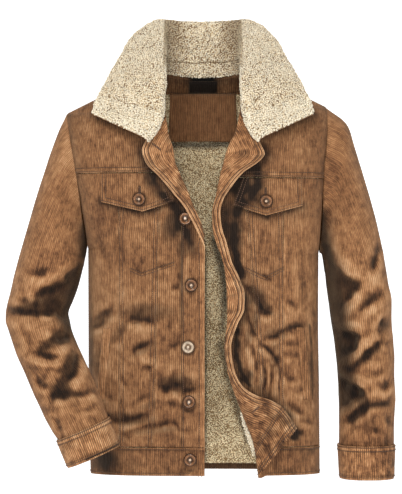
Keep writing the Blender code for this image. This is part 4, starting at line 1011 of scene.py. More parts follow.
def stitchLine(grid, out, wall, edge, inset, start=0.0, end=1.0):
    top = shift(grid, wall + stitching["proud"], out)
    if edge in ("first", "last"):
        top = np.swapaxes(top, 0, 1)
    if edge in ("last", "top"):
        top = top[::-1]
    run, last = runOf(top, 0), top.shape[1] - 1
    return np.array([[np.interp(inset, run[:, k], top[:, k, axis]) for axis in range(3)]
                     for k in range(int(start * last), int(end * last) + 1)])


def addSeams(side, grid, out, *lines, wall=cloth):  # each an edge and inset, and from where to where along it
    seamStitches[side] += [stitchLine(grid, out, wall, *line) for line in lines]


def widthOf(across):
    return float(np.abs(across[:, 0] - across[:, -1]).mean())


def buildFront(side):
    sign = sides[side]
    out = (0.5 * sign, -1, 0)
    low, high = 1 + frontCloth["rowShare"], 2 - frontCloth["rowShare"]
    rows = evenly(low, high, 166)
    for label, (first, last, count) in panels.items():
        start = first + (frontCloth["seamShare"] if first else 0)
        cols = evenly(start, last - frontCloth["seamShare"], count)
        grid, across, height, lift = puckered(lambda lift: frontGrid(side, rows, cols, lift),
                                              "first last top bottom", 0.7, 11 + first)
        # lighter sewn side edges, wear and painted highlight; darker near the waistband and yoke seams
        wear = 0.45 * nearEdges(grid, "first last", 0.004) - 0.25 * nearEdges(grid, "top bottom", 0.012)
        piece = sew(f"front_{label}_cloth_{side}", grid, cloth, out, cord, across,
                    hollow=hollows(height + lift), wear=wear,
                    shade=np.maximum(frontShade(side, grid), deep(height)))
        finishPiece(piece, "corduroy", f"front_{label}_{side}")
        widthOf(across)
        if label == "pocket":
            addSeams(side, grid, out, *[(edge, inset) for edge in ("first", "last")
                                        for inset in frontCloth["pocketSeams"]])


def buildPlacket(side):
    out = (0, -1, 0)
    rows = spaced(1 + frontCloth["rowShare"], 2, 166, 3, 24)
    cols = spaced(3 + frontCloth["seamShare"], 4, 10, 5, 8, 6, 12)
    grid, across, height, lift = puckered(lambda lift: frontGrid(side, rows, cols, lift),
                                          "first bottom", 0.7, 17)
    # lighter edges: wear and painted highlight
    wear = 0.55 * nearEdges(grid, "last", 0.005) + 0.3 * nearEdges(grid, "first", 0.004)
    shade = np.maximum(frontShade(side, grid) * (1 - ramp(3.5, 4.5, cols))[None, :], deep(height))
    piece = sew(f"placket_cloth_{side}", grid, cloth, out, cord, across,
                hollow=hollows(height + lift), wear=wear, shade=shade)
    finishPiece(piece, "corduroy", f"placket_{side}")
    widthOf(across)
    addSeams(side, grid, out, ("first", 0.003), ("last", 0.009, 0, 0.86 if side == "right" else 0.05))


def buildYoke(side):
    sign = sides[side]
    out = (0.5 * sign, -1, 0)
    rows = spaced(2.003, 3, 20, 4, 46)
    cols = evenly(0, 3 - frontCloth["seamShare"], 58)
    grid, across, height, lift = puckered(lambda lift: frontGrid(side, rows, cols, lift),
                                          "first bottom top", 0.8, 23, 0.0007)
    # lighter edges: wear and painted highlight
    wear = 0.5 * nearEdges(grid, "bottom", 0.004) + 0.3 * nearEdges(grid, "first", 0.008)
    shade = frontShade(side, grid)
    # painted shadow of the collar's leaf on the yoke
    leafEdge = [(sign * 0.092, -0.0965), (sign * 0.183, -0.05)]
    fromLeaf = lineDistance(grid[..., 0], grid[..., 2], leafEdge)
    shade = np.maximum(shade, 0.7 * fade(fromLeaf, 0.01, 1.3))
    piece = sew(f"front_yoke_cloth_{side}", grid, cloth, out, cord, across,
                hollow=hollows(height + lift), wear=wear, shade=shade)
    finishPiece(piece, "corduroy", f"front_yoke_{side}")
    area = float(np.linalg.norm(gridArea(grid), axis=2).sum())
    addSeams(side, grid, out, *[("bottom", inset) for inset in frontCloth["yokeSeams"]])


def gridArea(grid):
    return np.cross(grid[1:, :-1] - grid[:-1, :-1], grid[:-1, 1:] - grid[:-1, :-1])


def buildWaistband(side):
    sign = sides[side]
    out = (0.5 * sign, -1, 0)
    rows = evenly(0, 1 - 0.01, 30)
    cols = spaced(0, 3, 60, 4, 5, 5, 8, 6, 14)
    grid, across, height = frontGrid(side, rows, cols)
    sewn = nearEdges(grid, "top bottom", 0.009)
    lift = puckers(sewn, across, 31) * 0.8 + 0.0006 * nearEdges(grid, "top", 0.006)
    grid, across, height = frontGrid(side, rows, cols, lift)
    turnedFrom = int(np.argmax(cols >= 4))
    grid[-1, turnedFrom:] = mix(grid[-1, turnedFrom:], grid[-2, turnedFrom:], 0.4)
    # lighter edges, wear and painted highlight, darker across the rest
    wear = 0.6 * nearEdges(grid, "bottom", 0.004) + 0.35 * nearEdges(grid, "top", 0.004) - 0.25
    shade = frontShade(side, grid) * (1 - ramp(3.5, 4.5, cols))[None, :]
    seamLine = nearEdges(grid, "top", 0.008) - nearEdges(grid, "top", 0.005)
    patchy = ramp(0.1, 0.9, cloudy(grid[..., 0], grid[..., 2], 0.014, 231))
    shade = np.maximum(shade, 1.3 * seamLine + 0.4 * patchy)
    piece = sew(f"waistband_front_cloth_{side}", grid, cloth, out, cord, across,
                hollow=hollows(height + lift), wear=wear, shade=shade)
    finishPiece(piece, "corduroy", f"waistband_front_{side}")
    widthOf(across)
    addSeams(side, grid, out, ("top", 0.0025, 0, 0.72), ("bottom", 0.0045, 0, 0.72))


buttonholes = {  # middle, half length and direction on the fronts' cloth; the facings' are only a middle
    "right": ((-0.1035, -0.1795, 0.0075, (0, 1)),), "left": ((0.102, -0.182, 0.0075, (0, 1)),),
    "facing_right": (-0.0764, -0.1058), "facing_left": (0.085, -0.536),
}


def nearestOn(grid, x, z, stand):  # a point just in front of a grid's nearest place
    points = grid.reshape(-1, 3)
    away = np.hypot(points[:, 0] - x, points[:, 2] - z)
    near = np.argsort(away)[:3]
    share = 1 / (away[near] + 0.0002)
    y = (points[near, 1] * share).sum() / share.sum()
    return np.array((x, y - stand, z))


facing = {"firstColumn": 2.5, "seams": (0.0042, 0.01), "cornerRows": (0.006, 0.012, 0.04, 0.045),
          "flat": (0.095, 0.6), "flatShare": 0.8}


def buildFacing(side):
    sign = sides[side]
    inward = (0, 1, 0)
    rows = spaced(0, 1, 26, 2, 124, 3, 30, 3.7, 16)
    cols = spaced(facing["firstColumn"], 3, 6, 4, 8, 5, 8, 6, 26)
    grid, across, height = frontGrid(side, rows, cols)
    top = int(np.argmax(rows >= 3.3))
    turned = int(np.argmax(cols >= 3 - 1e-9)) + 1
    lift = 0.0005 * cloudy(across, alongRows(grid), 0.009, 41) * nearEdges(grid[:top + 1], "last", 0.02).max()
    lift = lift + 0.0013 * cloudy(grid[..., 0], grid[..., 2], 0.01, 43) * ramp(-0.49, -0.54, grid[..., 2])
    grid, across, height = frontGrid(side, rows, cols, lift)
    grid = shift(grid, 2 * body["seamGap"], inward)
    fromEdge = runOf(grid[:, ::-1], 1)[:, ::-1]
    x, z = grid[..., 0], grid[..., 2]
    stitched = lambda run, inset: fade(run - inset, 0.0012, 2)
    # painted highlight along the turned edge and on the ridge between the stitch rows, and painted light on
    # the upper lapels, with wear
    wear = 2.1 * nearEdges(grid, "last", 0.0032) + 0.25 * ramp(-0.45, -0.38, z) - 0.1
    wear = wear + 0.7 * fade(fromEdge - 0.0071, 0.0018, 2)
    # painted light on the lapels and painted shade on the lower corner, in patches there; random darker
    # patches and dark stitch lines
    shade = -0.22 + 0.34 * ramp(-0.42, -0.5, z)
    shade = shade + 0.55 * ramp(-0.1, 0.9, cloudy(x, z, 0.011, 211)) * ramp(-0.5, -0.55, z)
    shade = np.maximum(shade, 0.5 * ramp(0.15, 0.85, cloudy(x, z, 0.009, 213)))
    shade = np.maximum(shade, 0.6 * np.maximum(*[stitched(fromEdge, inset) for inset in facing["seams"]]))
    if side == "left":
        fromFoot = runOf(grid, 0)
        for inset in facing["cornerRows"]:
            shade = np.maximum(shade, 0.65 * stitched(fromFoot, inset) * ramp(4.2, 4.6, cols)[None, :])
    piece = sew(f"facing_cloth_{side}", grid, cloth, inward, boldCord, fromEdge,
                hollow=hollows(height + lift), wear=wear, shade=shade,
                keep=lambda i, j: (j < turned) | (i < top))
    finishPiece(piece, "corduroy", f"facing_{side}")
    lower = grid[:top + 1, turned:]
    addSeams(side, lower, inward, *[("last", inset) for inset in facing["seams"]])
    if side == "left":
        addSeams(side, lower, inward, *[("bottom", inset, 0.3, 1.0) for inset in facing["cornerRows"]])
    x, z = buttonholes["facing_" + side]
    marks = [nearestOn(lower, x + sign * t * 0.0065, z + t * 0.005 + across, 0.0024)
             for across in (-0.001, 0.001) for t in evenly(-1, 1, 8)]
    sewStitches(f"facing_buttonhole_{side}", [marks[:9], marks[9:]], width=0.0013, step=0.0011)


for side in sides:
    buildFront(side)
    buildPlacket(side)
    buildYoke(side)
    buildWaistband(side)
    buildFacing(side)
print("fronts sewn")

# linings and back
fleece = {"near": 0.0038, "far": 0.0088, "lump": 0.0009, "aboveHem": 0.011}


def lumps(grid, seed):  # the pile's unevenness
    x, y, z = grid[..., 0], grid[..., 1], grid[..., 2]
    return fleece["lump"] * (cloudy(x + 0.3 * y, z, 0.0075, seed)
                             + 0.6 * cloudy(x, z + 0.4 * y, 0.022, seed + 2)
                             + 0.35 * cloudy(x, z, 0.055, seed + 5))


def liningClearance(grid):
    z, hemZ = grid[..., 2], body["hemZ"]
    inner = ramp(hemZ + 0.02, hemZ + 0.06, z) * (1 - ramp(-0.2, -0.1, z))
    return mix(fleece["near"], fleece["far"], inner)


# reach, strength and path of the lines on the lining that the front's edges and the patch shade
gapShades = ((0.0085, 1.0, 200, -2580, 310, -2960, 390, -3370, 390, -3720),
    (0.0045, 0.8, 380, -3720, 330, -4150), (0.0035, 0.8, 40, -2750, 40, -6500),
    (0.006, 0.75, 310, -4400, 460, -5050, 650, -5700, 780, -6100),
    (0.005, 0.7, -480, -1250, -300, -1900, 0, -2620), (0.005, 0.7, 460, -1150, 320, -1600, 200, -2350),
    (0.007, 1.05, -560, -895, 0, -905, 540, -885))


def gapShade(grid):
    z = grid[..., 2]
    # painted light brightens the lining from the middle up, a little less near the top; below it is a little
    # darker
    shade = mix(0.1, -0.62, ramp(-0.44, -0.3, z)) + 0.15 * ramp(-0.16, -0.1, z)
    return darkRuns(shade, gapShades, grid[..., 0], z, 2.0)


def buildLining(name, grid, inward, seed, node):
    grid = shift(grid, liningClearance(grid), inward)
    bumps = lumps(grid, seed)
    rim = nearEdges(grid, "first last top bottom", 0.004)
    wall = body["pile"] + bumps - 0.0016 * rim
    inner = shift(grid, wall, inward)
    piece = closedShell(name, inner, grid, inward, liningFleece, -bumps / 0.0014, gapShade(inner))
    finishPiece(piece, "sherpa", node)
    return piece


# two grids joined round their rim
def closedShell(name, face, backing, out, material, hollow, shade=None):
    rows, columns = face.shape[:2]
    turned = facingOf(face, out) < 0
    total = rows * columns
    index = np.arange(total).reshape(rows, columns)
    quads = np.stack((index[:-1, :-1], index[:-1, 1:], index[1:, 1:], index[1:, :-1]), axis=-1).reshape(-1, 4)
    under = quads[:, ::-1] + total
    rimLine = np.concatenate((index[0, :-1], index[:-1, -1], index[-1, :0:-1], index[:0:-1, 0]))
    nextOne = np.roll(rimLine, -1)
    rim = np.stack((nextOne, rimLine, rimLine + total, nextOne + total), axis=-1)
    faces = np.concatenate((quads, under, rim))
    if turned:
        faces = faces[:, ::-1]
    mesh = bpy.data.meshes.new(name)
    places = np.concatenate((face.reshape(-1, 3), backing.reshape(-1, 3)))
    mesh.from_pydata(places.tolist(), [], faces.tolist())
    paint(mesh, "hollow", np.tile(hollow.ravel(), 2))
    if shade is not None:
        paint(mesh, "shade", np.tile(shade.ravel(), 2))
    return newPiece(name, mesh, material)


def buildBack():
    out = (-1, 1, 0)
    rows = spaced(1 + frontCloth["rowShare"], 2, 76, 3, 40)
    columns = np.sign(evenly(-1, 1, 100)) * np.abs(evenly(-1, 1, 100)) ** 1.12
    grid, across, height, lift = puckered(lambda lift: backGrid(rows, columns, lift),
                                          "first last top bottom", 0.7, 51)
    # lighter side edges, wear and painted highlight; darker near the waistband seam
    wear = 0.35 * nearEdges(grid, "first last", 0.005) - 0.2 * nearEdges(grid, "bottom", 0.012)
    piece = sew("back_cloth", grid, cloth, out, cord, across, hollow=hollows(height + lift), wear=wear)
    finishPiece(piece, "corduroy", "back")
    bandRows = evenly(0, 1 - 0.01, 15)
    band, bandAcross, bandHeight = backGrid(bandRows, columns)
    lift = puckers(nearEdges(band, "top bottom", 0.009), bandAcross, 53) * 0.8
    band, bandAcross, bandHeight = backGrid(bandRows, columns, lift)
    # lighter edges, wear and painted highlight, darker across the rest
    wear = 0.6 * nearEdges(band, "bottom", 0.004) + 0.3 * nearEdges(band, "top", 0.004) - 0.25
    piece = sew("waistband_back_cloth", band, cloth, out, cord, bandAcross,
                hollow=hollows(bandHeight + lift), wear=wear)
    finishPiece(piece, "corduroy", "waistband_back")
    inside, bandAcross, bandHeight = backGrid(evenly(0.015, 0.9, 8), columns * 0.98)
    inside = shift(inside, 0.0004, (1, -1, 0))
    piece = sew("waistband_inside_cloth", inside, 0.001, (1, -1, 0), bandCord, bandAcross)
    finishPiece(piece, "corduroy")
    paths = [stitchLine(grid, out, cloth, edge, 0.003) for edge in ("first", "last", "top")]
    paths += [stitchLine(band, out, cloth, edge, inset)
              for edge, inset in (("top", 0.0025), ("bottom", 0.0045))]
    sewStitches("back_stitches", paths)


def buildLinings():
    foot = fleece["aboveHem"] / body["waistband"]
    columns = evenly(-1, 1, 124)
    columns = 0.985 * np.sign(columns) * np.abs(columns) ** 1.25  # closer together in the middle
    grid = backGrid(spaced(foot, 1, 10, 2, 106, 2.88, 54), columns, lining=True)[0]
    buildLining("lining_back_fleece", grid, (1, -1, 0), 61, "lining_back")
    for side in sides:
        rows = spaced(foot, 1, 8, 2, 90, 3, 14, 3.4, 10)
        grid = frontGrid(side, rows, evenly(0.03, 2.48, 36), folded=False)[0]
        buildLining(f"lining_front_fleece_{side}", grid, (0, 1, 0), 71, f"lining_front_{side}")


def buildSliver():  # the lining's edge that looks out beside the turned corner
    run = pairs((650, -5420, 700, -5640, 765, -5820, 850, -6030, 880, -6130))
    at = lambda t, k: np.interp(t, range(len(run)), run[:, k])
    builder = bmesh.new()
    bmesh.ops.create_uvsphere(builder, u_segments=14, v_segments=40, radius=1)
    for v in builder.verts:
        t = (1 - v.co.z) / 2 * (len(run) - 1)
        x, z = at(t, 0), at(t, 1)
        bump = 1 + 0.25 * float(cloudy(z, v.co.x * 0.004, 0.004, 141))
        wide = mix(0.0026, 0.0056, t / (len(run) - 1)) * bump
        depth = float(bodyDepth("front", x, z))
        v.co = (x - 0.001 + v.co.x * wide, -depth + 0.0045 + v.co.y * 0.0028 * bump, z)
    mesh = bpy.data.meshes.new("lining_edge_fleece")
    bmesh.ops.recalc_face_normals(builder, faces=builder.faces)
    builder.to_mesh(mesh)
    builder.free()
    finishPiece(newPiece("lining_edge_fleece", mesh, tuftFleece), "sherpa")
    down, share = evenly(0, 1, 40)[:, None], evenly(-1, 1, 6)[None, :]
    t = down * (len(run) - 1) + 0 * share
    x, z = at(t, 0) - 0.001 + mix(0.002, 0.0052, down) * share, at(t, 1)
    y = -bodyDepth("front", x, z) + 0.0018 + 0.0016 * share**2
    strewTufts("lining_edge_tufts", np.stack((x, y, z), axis=-1), (0, -1, 0), 0.0027, 0.0042, 11)


buildBack()
buildLinings()
buildSliver()
print("linings and back sewn")

# inside the neck
neck = {
    "patchHalf": 0.061, "patchTopZ": 0.0045, "patchHeight": 0.0885, "corner": 0.01, "patchClear": 0.003,
    "bandStand": 0.0021, "loopHalf": 0.025, "loopStand": 0.0052, "loopBow": 0.0035,
    "loopHeights": (0.002, 0.0225),
}


def buildNeck():
    inward = (0, -1, 0)
    columns = evenly(-0.172, 0.172, 48)
    band, across, height = backGrid(evenly(2.7, 3, 14), columns)
    band = shift(band, neck["bandStand"], inward)
    band = np.concatenate((band, band[-1:] + np.array((0, 0.0004, 0.006))))  # up behind the collar's pile
    across = np.concatenate((across, across[-1:]))
    # painted shade round the hanger loop and up under the collar
    shade = 0.85 * np.exp(-(band[..., 0] / 0.029) ** 4) + 0.35 * ramp(0.01, 0.022, band[..., 2])
    piece = sew("neck_band_cloth", band, cloth, inward, insideCord, across, shade=shade)
    finishPiece(piece, "corduroy", "neck_band")
    area = float(np.linalg.norm(gridArea(band), axis=2).sum())
    x = evenly(-neck["loopHalf"], neck["loopHalf"], 24)
    z = evenly(neck["loopHeights"][0], neck["loopHeights"][1], 3)
    loop = bodyPoints("back", x[None, :], z[:, None])[0]
    loop = shift(loop, neck["loopStand"], inward)
    loop[..., 1] -= neck["loopBow"] * np.clip(1 - (x / (neck["loopHalf"] * 0.8)) ** 2, 0, 1)
    piece = sew("hanger_loop_cloth", loop, cloth, inward, loopCord, np.broadcast_to(x, loop.shape[:2]))
    finishPiece(piece, "corduroy", "hanger_loop")
    down = np.concatenate((evenly(0, 0.85, 24), 1 - 0.15 * np.cos(evenly(0, pi / 2, 10))[1:]))
    rows = []
    for share in down:
        foot = max(0, neck["patchHeight"] * (share - 1) + neck["corner"])
        pulled = neck["corner"] - math.sqrt(max(neck["corner"] ** 2 - foot**2, 0))
        half = neck["patchHalf"] - pulled
        rows.append([(x, neck["patchTopZ"] - neck["patchHeight"] * share) for x in evenly(-half, half, 40)])
    rows = np.array(rows)
    patch = bodyPoints("back", rows[..., 0], rows[..., 1])[0]
    patch = shift(patch, fleece["near"] + body["pile"] + neck["patchClear"], inward)
    rim = nearEdges(patch, "first last bottom top", 0.006)
    patch[..., 1] += 0.0012 * rim
    # lighter rim: wear and painted highlight; painted shade along the patch's lit top edge
    piece = sew("neck_patch_cloth", patch, cloth, inward, patchCord, rows[..., 0], wear=0.35 * rim,
                shade=0.75 * nearEdges(patch, "bottom", 0.003) * (patch[..., 2] > -0.01))
    finishPiece(piece, "patch_corduroy", "neck_patch")
    around = [stitchLine(patch, inward, cloth, edge, 0.003, 0.02, 0.98)
              for edge in ("first", "bottom", "last")]
    sewStitches("patch_stitches", around, "patch_corduroy", 0.0007)


buildNeck()

# flaps, welts and buttons
flapCloth = {"lift": 0.0022, "wall": 0.0021, "slant": 0.015, "bulge": 0.0012, "seams": (0.0028, 0.0085)}
welts = {
    "right": {"top": (0.164, -0.405), "foot": (0.176, -0.527), "wide": 0.013},
    "left": {"top": (0.167, -0.405), "foot": (0.179, -0.527), "wide": 0.013},
}


def buildFlap(side):
    flap, sign = flaps[side], sides[side]
    down = evenly(0, 1, 32)[:, None]
    share = evenly(0, 1, 80)[None, :]
    x = mix(flap["outer"], flap["inner"] + flapCloth["slant"] * (1 - down), share)
    reach = np.where(x > flap["point"], flap["outer"] - flap["point"], flap["point"] - flap["inner"])
    depth = mix(flap["tip"], flap["side"], np.abs(x - flap["point"]) / reach)
    z = flap["top"] - depth * down
    wave = flapCloth["bulge"] * np.sin(pi * share) * down
    wave = wave + 0.0006 * cloudy(x, z, 0.03, 81) * down + 0.002 * down**2
    grid = bodyPoints("front", sign * x, z, wave)[0]
    rim = nearEdges(grid, "first last top", 0.004)
    grid = shift(grid, flapCloth["lift"] - 0.0006 * rim, (0, -1, 0))
    # lighter edges, wear and painted highlight, a little darker at the foot; the lapel's painted shadow falls
    # on the flap
    wear = 0.7 * nearEdges(grid, "first last top", 0.0045) - 0.15 * nearEdges(grid, "bottom", 0.01)
    piece = sew(f"pocket_flap_cloth_{side}", grid, flapCloth["wall"], (0, -1, 0), cord, sign * x,
                hollow=hollows(wave), wear=wear, shade=frontShade(side, grid, False))
    finishPiece(piece, "corduroy", f"pocket_flap_{side}")
    for inset in flapCloth["seams"]:
        for edge in ("first", "top", "last"):
            trim = inset / (0.12 if edge == "top" else 0.05)
            start = trim if edge == "top" else 0.0
            addSeams(side, grid, (0, -1, 0), (edge, inset, start, 1 - trim), wall=flapCloth["wall"])


def buildWelt(side):
    welt, sign = welts[side], sides[side]
    down = evenly(0, 1, 40)[:, None]
    share = evenly(0, 1, 6)[None, :]
    x = mix(welt["top"][0], welt["foot"][0], down) - welt["wide"] * share
    z = mix(welt["top"][1], welt["foot"][1], down) + 0 * share
    wave = 0.0005 * np.sin(pi * share) + 0.0004 * cloudy(x, z, 0.02, 91)
    grid = bodyPoints("front", sign * x, z, wave)[0]
    out = (sign * 0.7, -0.7, 0)
    grid = shift(grid, flapCloth["lift"], out)
    # lighter edges: wear and painted highlight
    wear = 0.5 * nearEdges(grid, "first last", 0.003)
    piece = sew(f"pocket_welt_cloth_{side}", grid, cloth, out, cord, sign * x, wear=wear)
    finishPiece(piece, "corduroy", f"pocket_welt_{side}")


def overFront(places, stand):  # points a little over the front's cloth
    x, z = np.array(places).T
    grid = bodyPoints("front", np.stack((x - 0.002, x, x + 0.002)), np.stack((z, z, z)))[0]
    normal = gridNormals(grid)[1] * facingOf(grid, (0, -1, 0))
    upright = np.array([Vector(n).dot(Vector((0, -1, 0))) for n in normal])
    return grid[1] + np.array((0, -1, 0)) * (stand / np.maximum(np.abs(upright), 0.5))[:, None]


def pathPoints(line, step=0.002):  # a run of points evenly spaced on a path
    line = np.array(line)
    run = runOf(line, 0)
    at = evenly(0, run[-1], max(int(run[-1] / step), 2))
    return np.stack([np.interp(at, run, line[:, k]) for k in range(line.shape[1])], axis=1)


def buildSeamLines(side):
    for drop in (0.0, 0.005):
        line = pathPoints(pairs(pocketLines[side]) - np.array((0, drop)))
        seamStitches[side].append(overFront(line, cloth + 0.0004))


def buildButtonholes():
    rims = []
    for side in sides:
        for x, z, half, (dx, dz) in buttonholes[side]:
            for across in (-0.0009, 0.0009):
                ends = [(x + t * dx * half + across * dz, z + t * dz * half + across * dx) for t in (-1, 1)]
                rims.append(overFront(pathPoints(ends, 0.001), flapCloth["lift"] + flapCloth["wall"] + 0.002))
    sewStitches("buttonhole_stitches", rims, width=0.0014, step=0.0012)


for side in sides:
    buildSeamLines(side)
    buildFlap(side)
    buildWelt(side)
    sewStitches(f"front_stitches_{side}", seamStitches[side])
buildButtonholes()
print("flaps, welts and stitches done")

paleButtons = ("button_3",)
buttonShape = {"radius": 0.0108, "height": 0.004}
buttonProfile = ((0, 0), (0.55, 0), (0.82, 0.06), (0.96, 0.28), (1.0, 0.52), (0.96, 0.8), (0.86, 0.97),
                 (0.74, 1.0), (0.64, 0.9), (0.56, 0.7), (0.48, 0.55), (0.3, 0.48), (0, 0.46))


def buildButton(name):
    x, z, stand = buttons[name]
    reach = np.array((-0.01, 0, 0.01))
    grid = bodyPoints("front", x + reach[None, :], z + reach[:, None])[0]
    normal = Vector(gridNormals(grid)[1, 1] * facingOf(grid, (0, -1, 0)))
    builder = bmesh.new()
    radius, tall = buttonShape["radius"], buttonShape["height"]
    sweep = [builder.verts.new((radius * r, 0, tall * h)) for r, h in buttonProfile]
    for a, b in zip(sweep, sweep[1:]):
        builder.edges.new((a, b))
    bmesh.ops.spin(builder, geom=builder.verts[:] + builder.edges[:], cent=(0, 0, 0), axis=(0, 0, 1),
                   angle=2 * pi, steps=40, use_duplicate=False)
    bmesh.ops.remove_doubles(builder, verts=builder.verts, dist=0.00001)
    bmesh.ops.recalc_face_normals(builder, faces=builder.faces)
    turn = normal.to_track_quat("Z", "Y").to_matrix().to_4x4()
    turn = Matrix.Translation(Vector(grid[1, 1]) + normal * (stand + 0.0002)) @ turn
    bmesh.ops.transform(builder, matrix=turn, verts=builder.verts)
    mesh = bpy.data.meshes.new(name + "_horn")
    builder.to_mesh(mesh)
    builder.free()
    far = np.array([v.co for v in mesh.vertices]) - np.array(turn.translation)
    axis = np.array(normal)
    flat = np.linalg.norm(far - np.outer(far @ axis, axis), axis=1) / radius
    paint(mesh, "ring", flat)
    horn = horns["pale" if name in paleButtons else "dark"]
    finishPiece(newPiece(name + "_horn", mesh, horn), "horn", name)


for name in buttons:
    buildButton(name)
print("buttons on")

# sleeves
ringColumns = "outerX outerZ innerX innerZ y deep"
sleeveTables = {
    "right": table(ringColumns, (2463, -781, 1975, -2745, -20, 610),
        (2666, -1359, 1990, -2830, -30, 630), (2835, -1902, 2010, -2925, -40, 630),
        (2988, -2428, 2033, -3039, -40, 610), (3089, -2768, 2072, -3209, -40, 590),
        (3201, -3158, 2140, -3430, -30, 570), (3278, -3481, 2217, -3634, -20, 550),
        (3345, -3838, 2284, -3821, -30, 530), (3284, -4118, 2255, -3970, -120, 520),
        (3185, -4388, 2211, -4125, -260, 510), (3067, -4627, 2120, -4309, -420, 500),
        (2932, -4882, 2007, -4516, -600, 490), (2779, -5165, 1886, -4745, -800, 470),
        (2631, -5446, 1759, -5002, -980, 450), (2504, -5646, 1645, -5237, -1110, 430),
        (2365, -5832, 1550, -5473, -1210, 410)),
    "left": table(ringColumns, (2429, -611, 2013, -2825, -20, 610),
        (2564, -985, 2031, -2895, -30, 630), (2733, -1546, 2047, -2989, -40, 630),
        (2903, -2140, 2064, -3107, -40, 610), (3030, -2683, 2081, -3243, -40, 590),
        (3116, -3125, 2106, -3413, -30, 570), (3193, -3600, 2137, -3668, -20, 550),
        (3201, -3974, 2177, -3957, -30, 530), (3233, -4278, 2226, -4244, -50, 520),
        (3243, -4616, 2258, -4565, -80, 500), (3240, -4952, 2286, -4918, -110, 480),
        (3247, -5321, 2303, -5304, -150, 460), (3226, -5689, 2300, -5673, -190, 440),
        (3208, -6014, 2294, -6014, -230, 410)),
}
cuffTables = {
    "right": table(ringColumns, (2370, -5840, 1545, -5481, -1213, 416),
        (2174, -6269, 1379, -5928, -1370, 385)),
    "left": table(ringColumns, (3213, -6022, 2289, -6022, -230, 416),
        (3191, -6581, 2324, -6581, -280, 385)),
}
sleeveFolds = {  # by side, and front -1 or back 1
    "right": {
        -1: table(foldColumns, (-2190, -3120, -2730, -3510, 100, -60),
            (-2280, -3350, -2900, -3620, 100, 50), (-3230, -3780, -2450, -3660, 100, -60),
            (-3300, -3980, -2620, -4100, 90, 55), (-2220, -4260, -2680, -4330, 90, -55),
            (-3040, -4460, -2480, -4620, 100, 50), (-2160, -4410, -2360, -5030, 100, -50),
            (-2680, -5350, -2080, -5230, 100, -50)),
        1: table(foldColumns, (-2250, -3000, -2850, -3300, 120, 50),
            (-3200, -3850, -2500, -3850, 120, 60), (-3100, -4300, -2400, -4500, 120, -50),
            (-2800, -4900, -2200, -4800, 120, 50)),
    },
    "left": {
        -1: table(foldColumns, (2240, -3300, 2580, -3380, 110, -70),
            (2580, -3410, 2240, -3890, 100, 60), (2280, -4200, 2670, -4450, 110, -70),
            (2670, -4260, 2310, -4640, 90, 55), (2310, -5020, 2750, -5280, 110, -65),
            (3250, -5330, 2820, -5380, 90, 55), (2820, -5380, 2360, -5800, 90, 50),
            (2870, -3160, 3200, -3550, 100, 50), (3180, -3960, 2990, -4130, 100, -50)),
        1: table(foldColumns, (2300, -3300, 2850, -3550, 130, 60),
            (2400, -4250, 3000, -4400, 120, -60), (2400, -5000, 3050, -5200, 130, 55)),
    },
}
sleeveCreases = {
    "right": {
        -1: ((12, 7.5, -1984, -2922, -2266, -3344, -2547, -3470, -2715, -3499),
            (10, 6, -3160, -3773, -3007, -3787, -2727, -3815, -2448, -3787, -2280, -3871),
            (9, 5.5, -2582, -4256, -2403, -4220, -2115, -4193),
            (7, 4.5, -2920, -4402, -2743, -4456, -2498, -4511, -2348, -4456),
            (8, 5, -2238, -4947, -2103, -4784, -2049, -4513, -2035, -4324),
            (9, 5.5, -2534, -5189, -2386, -5122, -2171, -5081, -1942, -5095),
            (5, 3, -2736, -4866, -2642, -4973, -2561, -4987),
            (5, 2, -1982, -5081, -1793, -5014, -1578, -5229),
            (5, 2, -3081, -3967, -2943, -4188, -2832, -4354),
            (6, 2.2, -3071, -3065, -2732, -3150, -2477, -3065),
            (6, 2, -3137, -3541, -2940, -3625, -2743, -3653),
            (4, 2, -2413, -5472, -2359, -5606, -2332, -5714),
            (4, 1.8, -2090, -5337, -1847, -5324, -1686, -5229),
            (5, 2, -2628, -4637, -2440, -4718, -2278, -4718)),
        1: ((11, 6, -2250, -3000, -2550, -3200, -2900, -3300),
            (10, 5.5, -3200, -3850, -2850, -3950, -2450, -3880),
            (9, 5, -3080, -4320, -2750, -4480, -2380, -4500),
            (7, 4, -2830, -4900, -2500, -4950, -2150, -4830),
            (6, 3, -2600, -5200, -2300, -5250, -1950, -5100)),
    },
    "left": {
        -1: ((13, 8.5, 2567, -3348, 2307, -3220, 2080, -2980, 1967, -2584),
            (9, 6, 2222, -3956, 2307, -3659, 2567, -3362),
            (8, 3, 2419, -3878, 2715, -3681, 3024, -3456, 3108, -3428),
            (10, 7.5, 2644, -4215, 2434, -4173, 2265, -4131), (9, 6.5, 2279, -4553, 2434, -4426, 2644, -4244),
            (8, 4.5, 2996, -4328, 2771, -4440, 2546, -4637, 2419, -4806),
            (10, 7.5, 2684, -5129, 2419, -5059, 2251, -4933), (8, 6, 2307, -5380, 2447, -5240, 2684, -5170),
            (10, 6.5, 3160, -5310, 2894, -5324, 2643, -5380, 2447, -5548, 2321, -5743),
            (5, 3, 3108, -3822, 3024, -3934, 2926, -4103), (6, 4, 2844, -3164, 2915, -2895, 2971, -2641),
            (5, 3, 3024, -5115, 3108, -5003, 3165, -4960), (5, 2.2, 2754, -5799, 2838, -5743, 2950, -5799),
            (5, 2.2, 3090, -5520, 3146, -5715), (5, 2, 2419, -5855, 2475, -5715, 2587, -5687),
            (6, 2.4, 2855, -4356, 3024, -4272, 3136, -4356), (5, 2, 2743, -4834, 2911, -4806, 3024, -4750)),
        1: ((11, 6, 2350, -3350, 2600, -3480, 2950, -3500), (10, 5.5, 3050, -4080, 2750, -4200, 2400, -4180),
            (9, 5, 2350, -4700, 2700, -4800, 3080, -4720), (8, 4.5, 3120, -5200, 2800, -5300, 2450, -5250),
            (6, 3, 2400, -5650, 2700, -5720, 3050, -5640)),
    },
}
